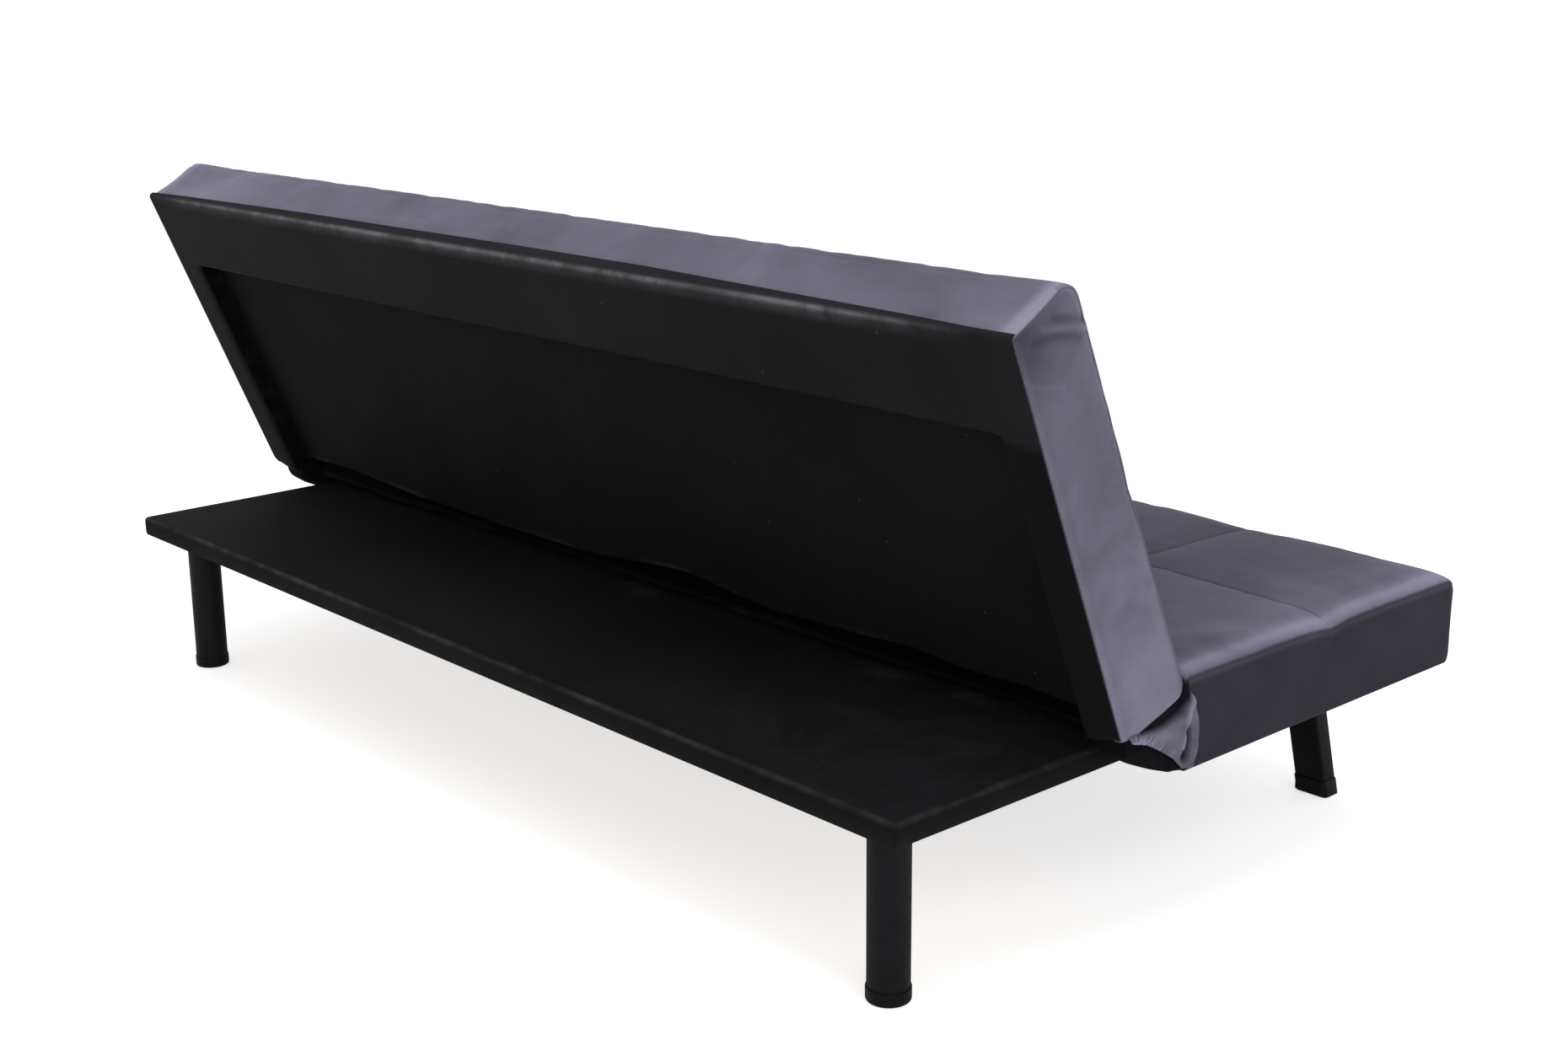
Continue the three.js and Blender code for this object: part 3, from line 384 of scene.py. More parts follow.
def velvet_finish(name, sheen):
    """Velvet whose tone comes per vertex from an attribute, its nap with painted highlight and shade,
    with clouds where it is bright.
    """
    material, tree, shader = new_finish(name, Roughness=0.8, Specular_IOR_Level=0.08)
    feed(tree, shader, Sheen_Weight=sheen, Sheen_Roughness=0.4, Sheen_Tint=(0.82, 0.78, 0.95, 1))
    cloth = use_group(tree, nap)
    tone_and_light = attribute(tree, "nap_and_painted_light")
    cloud = rescale(tree, (cloth, "Brushed"), (0.28, 0.72), (-0.15, 0.15))
    contrast = rescale(tree, tone_and_light, (0.1, 0.5), (0.3, 1.0))
    clouded_tone_and_light = maths(tree, "MULTIPLY_ADD", cloud, contrast, tone_and_light)
    shades = ramp(tree, clouded_tone_and_light, [(stop, velvet_shade(level)) for stop, level in LEVELS_OF_LIGHT])
    feed(tree, shader, Base_Color=shades, Normal=bump(tree, (cloth, "Pile"), 0.35, 0.0006))
    return material


velvet = velvet_finish("grey_velvet", 0.2)
# A copy with almost no sheen, for the deep faces of the gussets: painted shade.
shaded_velvet = velvet_finish("velvet_with_painted_shade", 0.02)
print(velvet.name, shaded_velvet.name)

# %% [markdown]
# ## Black lining
# The back and the deck are closed with spun-bonded lining: a thin black felt with a fine
# embossed dot pattern. It is matt, it creases sharply, and dust shows on it as a grey haze.

# %% The felt of the lining
felt, given, out = new_group(
    "lining felt",
    {"Place": None, "Dot Scale": 620.0, "Crease Scale": 9.0},
    ["Dots", "Creases", "Haze", "Specks"],
)
place = (given, "Place")
dots = put(felt, "ShaderNodeTexVoronoi", Vector=place, Scale=(given, "Dot Scale"), Randomness=0.25)
lint = put(felt, "ShaderNodeTexVoronoi", Vector=place, Scale=38.0)
channels = put(felt, "ShaderNodeSeparateColor", (lint, "Color"))
tiny = maths(felt, "LESS_THAN", (lint, "Distance"), 0.07)
sparse = maths(felt, "GREATER_THAN", (channels, "Red"), 0.90)
feed(
    felt,
    out,
    Dots=(dots, "Distance"),
    Creases=noise(felt, place, (given, "Crease Scale"), 6.0, 0.6, 1.5),
    Haze=noise(felt, place, 3.2, 5.0, 0.65),
    Specks=maths(felt, "MULTIPLY", tiny, sparse),
)
print(felt.name, len(felt.nodes), "nodes")

# %% The lining, in the shades it shows
PALE_EDGE = (0.16, 0.16, 0.175, 1)
DUSTY = (0.05, 0.052, 0.058, 1)
# The black that painted shade mixes towards.
SHADE_BLACK = (0.0006, 0.0007, 0.0008, 1)
SPECK_LEVEL = 0.2


def lining_finish(name, dark, light, pale_to, crease_height=0.002, specular=0.12):
    """Felt with painted shade where its hollow attribute asks, hazy with dust, and pale where it is
    worn, linted or given a painted highlight.
    """
    material, tree, shader = new_finish(name, Specular_IOR_Level=specular)
    cloth = use_group(tree, felt)
    wear_and_painted_highlight = attribute(tree, "wear_and_painted_highlight")
    shades = ramp(tree, (cloth, "Haze"), [(0.35, dark), (0.70, light)])
    # Painted shade: the felt is mixed towards black where its hollow attribute asks.
    with_painted_shade = mixed(tree, attribute(tree, "hollow"), shades, SHADE_BLACK)
    broken = rescale(tree, (cloth, "Creases"), (0.4, 0.6), (0.35, 1.0))
    # Lint, dust specks, wear and painted highlights mix the felt towards a pale colour.
    patchy = maths(tree, "MULTIPLY", wear_and_painted_highlight, broken)
    specks = maths(tree, "MULTIPLY", (cloth, "Specks"), SPECK_LEVEL)
    pale_share = maths(tree, "ADD", patchy, specks, use_clamp=True)
    wrinkles = bump(tree, (cloth, "Creases"), 0.6, crease_height)
    feed(
        tree,
        shader,
        Base_Color=mixed(tree, pale_share, with_painted_shade, pale_to),
        Roughness=rescale(tree, wear_and_painted_highlight, end=(0.85, 0.42)),
        Normal=bump(tree, (cloth, "Dots"), 0.25, 0.0003, wrinkles),
    )
    return material


band_lining = lining_finish(
    "band_lining", (0.008, 0.0087, 0.0095), (0.013, 0.014, 0.015), PALE_EDGE
)
# The sunk field's lining is darker than the band's: partly the loose cloth there, partly painted shade
# in the recess.
field_lining = lining_finish(
    "field_lining", (0.0025, 0.003, 0.0034), (0.0055, 0.0062, 0.0068), PALE_EDGE, crease_height=0.003
)
deck_lining = lining_finish(
    "deck_lining", (0.0015, 0.0018, 0.0022), (0.0055, 0.006, 0.0068), DUSTY
)
# A darker copy of the lining with little specular, for the cloth deep in the hinge: painted shade.
shaded_hinge_lining = lining_finish(
    "shaded_hinge_lining", (0.0015, 0.0018, 0.002), (0.005, 0.0055, 0.006), DUSTY, specular=0.03
)
print(band_lining.name, field_lining.name, deck_lining.name, shaded_hinge_lining.name)

# %% [markdown]
# ## Wood, foam, plastic and steel
# The legs are wood under a satin black paint, with plastic ferrules. Inside the sofa are planed
# pine, plywood, foam and zinc-plated steel, which show when the cloth is taken off.

# %% Grain and scuffs
grain, given, out = new_group(
    "timber grain", {"Place": None, "Stretch": (3.0, 60.0, 60.0)}, ["Grain", "Pores"]
)
stretched = put(
    grain, "ShaderNodeVectorMath", (given, "Place"), (given, "Stretch"), operation="MULTIPLY"
)
rings = noise(grain, (stretched, "Vector"), 1.0, 5.0, 0.55, 0.8)
feed(grain, out, Grain=rings, Pores=noise(grain, (stretched, "Vector"), 7.0))

scuffs, given, out = new_group("fine scuffs", {"Place": None, "Scuff Scale": 40.0}, ["Scuffs", "Ripple"])
scuffed = noise(scuffs, (given, "Place"), (given, "Scuff Scale"), 8.0, 0.7)
feed(scuffs, out, Scuffs=scuffed, Ripple=noise(scuffs, (given, "Place"), 900.0, 1.0))
print(grain.name, scuffs.name)

# %% Timber and hard finishes
PORE_DEPTH = 0.0004


def timber_finish(name, dark, light, stretch, roughness):
    """Bare timber, with its grain stretched along the boards."""
    material, tree, shader = new_finish(name, Roughness=roughness)
    wood = use_group(tree, grain, Stretch=stretch)
    shades = ramp(tree, (wood, "Grain"), [(0.3, dark), (0.7, light)])
    feed(tree, shader, Base_Color=shades, Normal=bump(tree, (wood, "Pores"), 0.4, PORE_DEPTH))
    return material


def hard_finish(name, dark, light, gloss, ripple_depth, metallic=0.0, specular=0.5):
    """Paint, plastic or steel with fine scuffs. Gloss is its least and its most roughness."""
    material, tree, shader = new_finish(name, Metallic=metallic, Specular_IOR_Level=specular)
    wear = use_group(tree, scuffs)
    feed(
        tree,
        shader,
        Base_Color=ramp(tree, (wear, "Scuffs"), [(0.35, dark), (0.75, light)]),
        Roughness=rescale(tree, (wear, "Scuffs"), (0.3, 0.7), gloss),
        Normal=bump(tree, (wear, "Ripple"), 0.25, ripple_depth),
    )
    return material


pine = timber_finish("planed_pine", (0.46, 0.29, 0.13), (0.68, 0.48, 0.26), (3, 60, 60), 0.6)
plywood = timber_finish("plywood", (0.36, 0.23, 0.11), (0.56, 0.39, 0.21), (4, 30, 90), 0.65)
leg_paint = hard_finish(
    "black_leg_paint",
    (0.0045, 0.0052, 0.0068), (0.0085, 0.0095, 0.0118), (0.42, 0.58), 0.0002, specular=0.16,
)
# The front legs get a darker copy of the same paint: painted shade.
shaded_front_paint = hard_finish(
    "black_front_leg_paint_shaded",
    (0.0022, 0.0027, 0.0036), (0.0045, 0.0052, 0.0068), (0.40, 0.55), 0.0002, specular=0.12,
)
ferrule = hard_finish(
    "black_ferrule",
    (0.003, 0.0034, 0.0042), (0.005, 0.0056, 0.0068), (0.38, 0.5), 0.0001, specular=0.16,
)
steel = hard_finish(
    "zinc_steel", (0.42, 0.42, 0.41), (0.62, 0.62, 0.60), (0.28, 0.45), 0.0001, metallic=1.0
)
foam, tree, shader = new_finish("cream_foam", Roughness=0.95, Specular_IOR_Level=0.1)
coordinates = put(tree, "ShaderNodeTexCoord")
cells = put(tree, "ShaderNodeTexVoronoi", Vector=(coordinates, "Object"), Scale=900.0)
cream = ramp(tree, (cells, "Distance"), [(0.0, (0.55, 0.47, 0.33)), (0.6, (0.80, 0.74, 0.60))])
feed(tree, shader, Base_Color=cream, Normal=bump(tree, (cells, "Distance"), 0.5, 0.0005))
print(pine.name, plywood.name, leg_paint.name, shaded_front_paint.name, ferrule.name, steel.name, foam.name)

# %% [markdown]
# ## The solids that stay
# Rails, boards, foam, bolts and the ratchet fitting have the right shape already.
# Each only gets a better material in the place of its plain one.

# %% Repaint the solids
FINISH_OF_SLOT = {
    "velvet": velvet,
    "black_cloth": field_lining,
    "pine": pine,
    "plywood": plywood,
    "foam": foam,
    "leg_wood": leg_paint,
    "black_plastic": ferrule,
    "steel": steel,
}
repainted = 0
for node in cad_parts.values():
    for material_slot in node.material_slots:
        plain = material_slot.material.name.split(".")[0] if material_slot.material else ""
        if plain in FINISH_OF_SLOT:
            material_slot.material = FINISH_OF_SLOT[plain]
            repainted += 1
print("repainted", repainted, "of", len(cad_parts))

# %% [markdown]
# ## The cushions
# The seat and the backrest are the same kind of thing: a slab of foam under velvet that is sewn
# in six panels by two. A grid gives the top its panels. It is pulled down into a box, and
# its lines are drawn together at seams and rolled edges, where the cloth turns quickly.

# %% Sizes of the cushions
HALF_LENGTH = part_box("seat_cover")[1][0]
SEAT_FRONT, SEAT_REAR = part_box("seat_cover")[0][1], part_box("seat_cover")[1][1]
SEAT_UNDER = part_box("seat_cover")[0][2]
FOLD = math.radians(67.8)
PIVOT_BEHIND_SEAT, PIVOT_ABOVE_SEAT = 0.019, 0.101
PIVOT_Y, PIVOT_Z = SEAT_REAR + PIVOT_BEHIND_SEAT, SEAT_UNDER + PIVOT_ABOVE_SEAT
BACK_UNDER = -0.1007
PANELS_LONG, PANELS_DEEP = 6, 2
CELL = 0.014
SEAM_STEPS = (-0.012, -0.005, -0.0015, 0, 0.0015, 0.005, 0.012)
WALL_LEVELS = np.array([0, 0.03, 0.09, 0.2, 0.32, 0.44, 0.56, 0.68, 0.8, 0.9, 0.96, 1.0])
print("seat:", SEAT_FRONT, SEAT_REAR, "pivot:", PIVOT_Y, PIVOT_Z)


# %% Lay out the lines of a quilted grid
def spaced(stops, cell):
    """Lines through the stops, with others between them at about the cell."""
    lines = [stops[0]]
    for near, far in zip(stops, stops[1:]):
        count = max(1, round((far - near) / cell))
        lines += [near + (far - near) * k / count for k in range(1, count + 1)]
    return np.array(lines)


def quilt_lines(low, high, panels, roll_low, roll_high):
    """Places of grid lines from low to high: dense at the seams and in the rolled edges."""
    fixed = {low, high}
    for k in range(1, panels):
        seam = low + (high - low) * k / panels
        fixed.update(seam + step for step in SEAM_STEPS)
    for turn in np.linspace(0, math.pi / 2, 7):
        fixed.add(low + roll_low * (1 - math.sin(turn)))
        fixed.add(high - roll_high * (1 - math.sin(turn)))
    return spaced(sorted(fixed), CELL)


def seam_distance(place, low, high, panels):
    """Distance from a place to the nearest seam between panels."""
    seams = np.array([low + (high - low) * k / panels for k in range(1, panels)])
    return np.abs(place[:, None] - seams[None, :]).min(axis=1)


# %% Make a box of quilted cloth
def new_grid(name, xs, ys):
    counts = {"x_subdivisions": len(xs) - 1, "y_subdivisions": len(ys) - 1}
    return primitive(name, bpy.ops.mesh.primitive_grid_add, size=2, **counts)


def line_numbers(piece, xs, ys):
    """The numbers of the lines that each vertex of a new grid, 2 units wide, lies on."""
    raw = points_of(piece)
    across = np.rint((raw[:, 0] + 1) / 2 * (len(xs) - 1)).astype(int)
    along = np.rint((raw[:, 1] + 1) / 2 * (len(ys) - 1)).astype(int)
    return across, along


def quilted_box(name, xs, ys):
    """A grid extruded to a closed box. Returns it, and what each vertex of it belongs to."""
    box = new_grid(name, xs, ys)
    pick(box, "FACE", lambda face: True)
    extrude_up(-1)
    pick(box, "EDGE", lambda edge: rise(edge) > 0.5)
    bpy.ops.mesh.subdivide(number_cuts=len(WALL_LEVELS) - 2)
    outwards(box)
    across, along = line_numbers(box, xs, ys)
    level = np.rint(-points_of(box)[:, 2] * (len(WALL_LEVELS) - 1)).astype(int)
    x, y = xs[across], ys[along]
    long_seam = seam_distance(x, -HALF_LENGTH, HALF_LENGTH, PANELS_LONG)
    deep_seam = seam_distance(y, ys[0], ys[-1], PANELS_DEEP)
    end = (across == 0) | (across == len(xs) - 1)
    root, tip = along == 0, along == len(ys) - 1
    spots = SimpleNamespace(
        x=x, y=y, low=ys[0], high=ys[-1], level=level, top=level == 0, wall=level > 0,
        root=root, tip=tip, end=end, border=end | root | tip, from_end=HALF_LENGTH - np.abs(x),
        long_seam=long_seam, deep_seam=deep_seam,
    )
    print(name, len(x), "vertices")
    return box, spots


def rounded_corner(x, y, half_x, mid_y, half_y, radii):
    """Move points near a corner of a rectangle so that its outline turns on its near or far radius."""
    radius = np.where(y < mid_y, *radii)
    a = clamp((np.abs(x) - (half_x - radius)) / radius)
    b = clamp((np.abs(y - mid_y) - (half_y - radius)) / radius)
    near = (a > 0) & (b > 0)
    new_a, new_b = a * np.sqrt(1 - b**2 / 2), b * np.sqrt(1 - a**2 / 2)
    x = np.where(near, np.sign(x) * (half_x - radius + radius * new_a), x)
    y = np.where(near, mid_y + np.sign(y - mid_y) * (half_y - radius + radius * new_b), y)
    return x, y


# %% Shape a box into a cushion
DIMPLE_REACH, TOE_REACH, BULGE_REACH = 0.026, 0.03, 0.09
TOE_TURN = 0.85


def drop(distance, roll, depth):
    """How far a rolled edge has fallen, at a distance from the end of its roll."""
    turn = clamp(1 - distance / roll)
    return depth * (1 - np.sqrt(1 - turn**2))


def height_of_top(spots, form, share, tx, ty):
    """The crowned and quilted top of a cushion, before its walls are made."""
    middle, half = (spots.low + spots.high) / 2, (spots.high - spots.low) / 2
    thick = form.thick_low + (form.thick_high - form.thick_low) * share
    crown = form.crown * (1 - tx**4) * (1 - ty**4)
    puff_x = np.minimum(1, spots.long_seam / (HALF_LENGTH / PANELS_LONG))
    puff_y = np.minimum(1, spots.deep_seam / (half / PANELS_DEEP))
    puff = form.puff * (np.sin(puff_x * math.pi / 2) * np.sin(puff_y * math.pi / 2)) ** 0.5
    end = drop(spots.from_end, *form.roll_end)
    near = drop(spots.y - spots.low, *form.roll_low)
    far = drop(spots.high - spots.y, *form.roll_high)
    dimple = form.dimple * bell(np.hypot(spots.from_end, spots.y - middle), DIMPLE_REACH)
    return thick + crown + puff - np.sqrt(end**2 + near**2 + far**2) - dimple


def cushion_points(spots, form):
    """Where each vertex of the box goes. Returns x, place along the slab, and height above it."""
    middle, half = (spots.low + spots.high) / 2, (spots.high - spots.low) / 2
    share = (spots.y - spots.low) / (spots.high - spots.low)
    tx, ty = spots.x / HALF_LENGTH, (spots.y - middle) / half
    top = height_of_top(spots, form, share, tx, ty)
    x, y = rounded_corner(spots.x, spots.y, HALF_LENGTH, middle, half, form.corner)
    half_hollow, hollow_end, hollow_depth = form.hollow
    over_hollow = np.abs(spots.x) < half_hollow
    under = np.where(over_hollow & (spots.y < hollow_end), hollow_depth, form.lift)
    down = WALL_LEVELS[spots.level]
    height = under + (top - under) * (1 - down)
    inward = form.draw_in * np.sin(np.pi * down) * spots.wall
    inward += np.where(spots.border & spots.top, form.seam_sink, 0)
    inward = inward * spots.border
    x = x - np.sign(x) * inward * (np.abs(tx) > 0.97)
    y = y - np.sign(ty) * inward * (np.abs(ty) > 0.93)
    from_low = spots.y - spots.low
    turn = TOE_TURN * clamp(1 - height / form.toe)
    y = y + form.toe * (1 - np.sqrt(1 - turn**2)) * clamp(1 - from_low / TOE_REACH)
    bulge = np.interp(height, *form.bulge)
    bulge = np.where(over_hollow, np.interp(height, *form.middle_bulge), bulge)
    y = y - bulge * clamp(1 - from_low / BULGE_REACH) ** 2
    slant = form.slant_low + (form.slant_high - form.slant_low) * share
    return x, y + slant * height / form.thick_low, height


# %% Let the pressure of the filling round the cloth
AIR_PRESSURE, MOST_MOVE, SLACK = 2.0, 0.004, 0.004
LAST_STEP = 20


def fill_with_air(piece, pinned):
    """Blow the piece up a little as cloth, and cap how far any point may move."""
    before = points_of(piece)
    group = piece.vertex_groups.new(name="sewn")
    for weight in np.unique(pinned):
        if weight > 0:
            group.add([int(i) for i in np.flatnonzero(pinned == weight)], float(weight), "REPLACE")
    alone(piece)
    modifier = piece.modifiers.new("Filling", "CLOTH")
    cloth = modifier.settings
    cloth.quality = 4
    cloth.mass = 0.3
    cloth.tension_stiffness = cloth.compression_stiffness = 20
    cloth.shear_stiffness = 10
    cloth.bending_stiffness = 1.5
    cloth.use_pressure = True
    cloth.uniform_pressure_force = AIR_PRESSURE
    cloth.effector_weights.gravity = 0
    cloth.shrink_min = -SLACK
    cloth.vertex_group_mass = "sewn"
    cloth.pin_stiffness = 4
    modifier.point_cache.frame_start = 1
    modifier.point_cache.frame_end = LAST_STEP
    for step in range(1, LAST_STEP + 1):
        bpy.context.scene.frame_set(step)
    bpy.ops.object.modifier_apply(modifier=modifier.name)
    bpy.context.scene.frame_set(1)
    moved = points_of(piece) - before
    far = np.linalg.norm(moved, axis=1)
    moved *= (np.minimum(far, MOST_MOVE) / np.maximum(far, 1e-9))[:, None]
    set_points(piece, before + moved)
    piece.vertex_groups.clear()
    print(piece.name, "moved up to", round(float(far.max()) * 1000, 1), "mm")


# %% Sew the seams
ON_SEAM, SEAM_DEPTH, SEAM_FADE = 0.001, 0.0032, 0.03
BORDER_HOLD = 0.8


def sewn_weights(spots):
    """1 where the cloth is sewn down or stapled, less at the border, and 0 where it is free."""
    on_seam = np.minimum(spots.long_seam, spots.deep_seam) < ON_SEAM
    weights = np.where(spots.top & on_seam, 1.0, 0.0)
    weights = np.where(spots.top & spots.border, BORDER_HOLD, weights)
    return np.where(spots.level >= len(WALL_LEVELS) - 3, 1.0, weights)


def sink_seams(piece, spots, direction):
    """Pull the seam lines of the top into the filling. Returns how much each point is pulled, which also
    sets the painted shade in the seams.
    """
    from_edge = np.minimum(spots.from_end, np.minimum(spots.y - spots.low, spots.high - spots.y))
    pull = np.maximum(0.5 * (spots.long_seam < ON_SEAM), 1.0 * (spots.deep_seam < ON_SEAM))
    sewn = spots.top * pull * clamp(from_edge / SEAM_FADE)
    set_points(piece, points_of(piece) + SEAM_DEPTH * sewn[:, None] * np.array(direction))
    return sewn


# %% Say how the pile lies, and paint in light and shade
SEAM_SHADE = 0.15
END_REACH, LOW_REACH, SHADE_REACH, ROOT_REACH = 0.15, 0.05, 0.065, 0.2
ROLL_AT, ROLL_WIDTH = 0.012, 0.011
TIP_AT, TIP_WIDTH = 0.009, 0.012
FAR_START, FAR_LENGTH, FAR_DEPTH = 0.1, 0.7, 0.06


def velvet_tone_and_light(spots, sewn, tones):
    """Tone of the velvet at each vertex: the nap of top and walls, with painted highlight strips along
    rolled ends and the tip, painted shade in the seams and below the tip of each end, and some edges and
    seams set lighter or darker.
    """
    from_low, from_high = spots.y - spots.low, spots.high - spots.y
    end_wall, tip_wall = spots.wall & spots.end, spots.wall & spots.tip
    tone_and_light = tones.top + (tones.top_end - tones.top) * bell(spots.from_end, END_REACH)
    tone_and_light += (tones.strip - tones.top_end) * bell(spots.from_end - ROLL_AT, ROLL_WIDTH)
    tone_and_light += (tones.low_edge - tones.top) * bell(from_low, LOW_REACH)
    tone_and_light += (tones.high_edge - tones.top) * bell(from_high, tones.high_reach)
    tone_and_light -= SEAM_SHADE * sewn
    tone_and_light = np.where(spots.wall & spots.root, tones.low_wall, tone_and_light)
    tone_and_light = np.where(tip_wall, tones.high_wall, tone_and_light)
    tone_and_light = np.where(end_wall, tones.end_wall, tone_and_light)
    tone_and_light += tip_wall * tones.tip_strip * bell(spots.from_end - TIP_AT, TIP_WIDTH)
    tone_and_light -= end_wall * tones.tip_shade * bell(from_high, SHADE_REACH) * clamp(spots.level / 8)
    tone_and_light += end_wall * tones.root_light * clamp(1 - from_low / ROOT_REACH)
    tone_and_light = np.where((spots.level == 1) & spots.end, tones.under_strip, tone_and_light)
    far_light = clamp((spots.x - FAR_START) / FAR_LENGTH) * clamp(1 - from_high / FAR_DEPTH)
    tone_and_light += np.where(end_wall, 0, tones.far_end * far_light)
    tone_and_light = np.where(tip_wall & spots.end, tones.end_seam, tone_and_light)
    tone_and_light += end_wall * tones.rear_strip * np.select([spots.level >= 10, spots.level == 9], [1, -1])
    return np.where(spots.top & spots.end, tones.end_seam, tone_and_light)


# %% Fold a pocket for the click fitting
SLOT_NEAR, SLOT_FAR = 0.010, 0.022
SLOT_LINES = (0.0115, 0.0215)


def open_slot(piece, spots, wall, reach):
    """Fold a narrow pocket into a wall near each end, where the click fitting passes through."""
    in_slot = wall & (spots.from_end > SLOT_NEAR) & (spots.from_end < SLOT_FAR)
    points = points_of(piece)
    points[in_slot] += np.array(reach)
    set_points(piece, points)
    print("slots in", piece.name, int(in_slot.sum()), "points")


# %% [markdown]
# ## The seat cushion
# The seat is 117 mm thick at its edges. Its front edge is rolled well over, its ends less.

# %% Make the seat cushion
SEAT_SLOT_DEPTH = 0.026
SEAT_FORM = SimpleNamespace(
    thick_low=0.117, thick_high=0.117, crown=0.010, puff=0.003, dimple=0.0028,
    roll_end=(0.050, 0.012), roll_low=(0.040, 0.028), roll_high=(0.014, 0.014),
    corner=(0.012, 0.003), draw_in=0.0005, seam_sink=0.0015, slant_low=0, slant_high=0, toe=0.014,
    bulge=((0, 1), (0, 0)), middle_bulge=((0, 1), (0, 0)), hollow=(0, 0, 0), lift=0,
)
# Tones of the seat's velvet: the nap of its top and walls, with a painted highlight along the rolled
# ends.
SEAT_TONES = SimpleNamespace(
    top=0.36, top_end=0.61, strip=0.95, low_edge=0.50, high_edge=0.26, high_reach=0.16,
    far_end=0, root_light=0, tip_strip=0, tip_shade=0, rear_strip=0,
    low_wall=0.3, high_wall=0.3, end_wall=0.12, under_strip=0.30, end_seam=0.24,
)
seat_xs = quilt_lines(-HALF_LENGTH, HALF_LENGTH, PANELS_LONG, 0.050, 0.050)
slot_lines = [side * (HALF_LENGTH - inset) for side in (-1, 1) for inset in SLOT_LINES]
seat_xs = np.sort(np.concatenate([seat_xs, slot_lines]))
seat_ys = quilt_lines(SEAT_FRONT, SEAT_REAR, PANELS_DEEP, 0.040, 0.014)
seat, spots = quilted_box("seat_cushion", seat_xs, seat_ys)
x, y, height = cushion_points(spots, SEAT_FORM)
set_points(seat, np.column_stack([x, y, SEAT_UNDER + height]))
outwards(seat)
weights = sewn_weights(spots)
weights[spots.tip | (spots.wall & spots.end)] = 1
fill_with_air(seat, weights)
sewn = sink_seams(seat, spots, (0, 0, -1))
rear_wall = spots.tip & spots.wall & (spots.level < 9)
open_slot(seat, spots, rear_wall, (0, -SEAT_SLOT_DEPTH, 0))
paint(seat, "nap_and_painted_light", velvet_tone_and_light(spots, sewn, SEAT_TONES))
subdivide_smooth(seat)
dress(seat, velvet, "base", "seat_cover", angle=60)

# %% [markdown]
# ## The backrest cushion
# It is drawn as it lies folded flat, with the hinge at its near edge, and then turned up.
# Its rear is hollow over most of its width, because it drops over the deck when it lies flat.

# %% Make the backrest cushion
BACK_ROOT, BACK_TIP = 0.0023, 0.4943
RECESS_HALF, RECESS_TOP, RECESS_DEPTH = 0.846, 0.3743, 0.032
BACK_SLOT_DEPTH = 0.022
ROOT_BULGE = (
    (0, 0.010, 0.035, 0.073, 0.102, 0.116, 0.125),
    (0.003, 0.010, 0.019, 0.024, 0.024, 0.021, 0.013),
)
MIDDLE_BULGE = ((0.036, 0.070, 0.102, 0.116, 0.125), (-0.006, 0.004, 0.020, 0.018, 0.012))
BACK_FORM = SimpleNamespace(
    thick_low=0.1191, thick_high=0.106, crown=0.010, puff=0.003, dimple=0.001,
    roll_end=(0.040, 0.010), roll_low=(0.014, 0.014), roll_high=(0.036, 0.028),
    corner=(0.004, 0.010), draw_in=0.002, seam_sink=0.0015, slant_low=0.0078, slant_high=0.0178,
    toe=0.001, bulge=ROOT_BULGE, middle_bulge=MIDDLE_BULGE,
    hollow=(RECESS_HALF + 0.012, RECESS_TOP + 0.01, RECESS_DEPTH + 0.004), lift=0.0016,
)
# Tones of the backrest's velvet: the nap of its top and walls, with painted highlight along the rolled
# ends and the tip, and painted shade on each end below the tip.
BACK_TONES = SimpleNamespace(
    top=0.5, top_end=0.55, strip=0.90, low_edge=0.45, high_edge=0.58, high_reach=0.04,
    far_end=0.18, root_light=0.14, tip_strip=0.44, tip_shade=0.40, rear_strip=0.03,
    low_wall=0.25, high_wall=0.64, end_wall=0.71, under_strip=0.76, end_seam=0.5,
)


def turned_up(x, along, height):
    """Points of the flat backrest, as it stands in the sofa position."""
    lift = BACK_UNDER + height
    y = PIVOT_Y + along * math.cos(FOLD) - lift * math.sin(FOLD)
    z = PIVOT_Z + along * math.sin(FOLD) + lift * math.cos(FOLD)
    return np.column_stack([x, y, z])


back_xs = quilt_lines(-HALF_LENGTH, HALF_LENGTH, PANELS_LONG, 0.040, 0.040)
back_ys = quilt_lines(BACK_ROOT, BACK_TIP, PANELS_DEEP, 0.014, 0.036)
back, spots = quilted_box("backrest_cushion", back_xs, back_ys)
set_points(back, turned_up(*cushion_points(spots, BACK_FORM)))
outwards(back)
weights = sewn_weights(spots)
weights[spots.root | (spots.tip & spots.wall)] = 1
fill_with_air(back, weights)
sewn = sink_seams(back, spots, (0, math.sin(FOLD), -math.cos(FOLD)))
root_wall = spots.root & (spots.level > 1) & (spots.level < 9)
into_slab = (0, BACK_SLOT_DEPTH * math.cos(FOLD), BACK_SLOT_DEPTH * math.sin(FOLD))
open_slot(back, spots, root_wall, into_slab)
paint(back, "nap_and_painted_light", velvet_tone_and_light(spots, sewn, BACK_TONES))
subdivide_smooth(back)

# %% Pinch the corners of its cover
# Each crease gives its line on the end, its depth, its width, and a last number: painted shade along the
# crease where it is below zero, a painted highlight where it is above.
CORNER_CREASES = [
    ([(0.3227, 0.7446), (0.3065, 0.7439), (0.2800, 0.7395)], 0.0020, 0.0042, -0.16),
    ([(0.3396, 0.7359), (0.3061, 0.7339), (0.2770, 0.7313)], -0.0016, 0.0032, 0.12),
    ([(0.3514, 0.7243), (0.3208, 0.7287), (0.2957, 0.7264), (0.2840, 0.7222)], 0.0018, 0.0050, -0.14),
    ([(0.366, 0.690), (0.350, 0.682), (0.325, 0.678), (0.304, 0.6765)], 0.0010, 0.0026, 0.08),
]
GATHERED_ABOVE = 0.66


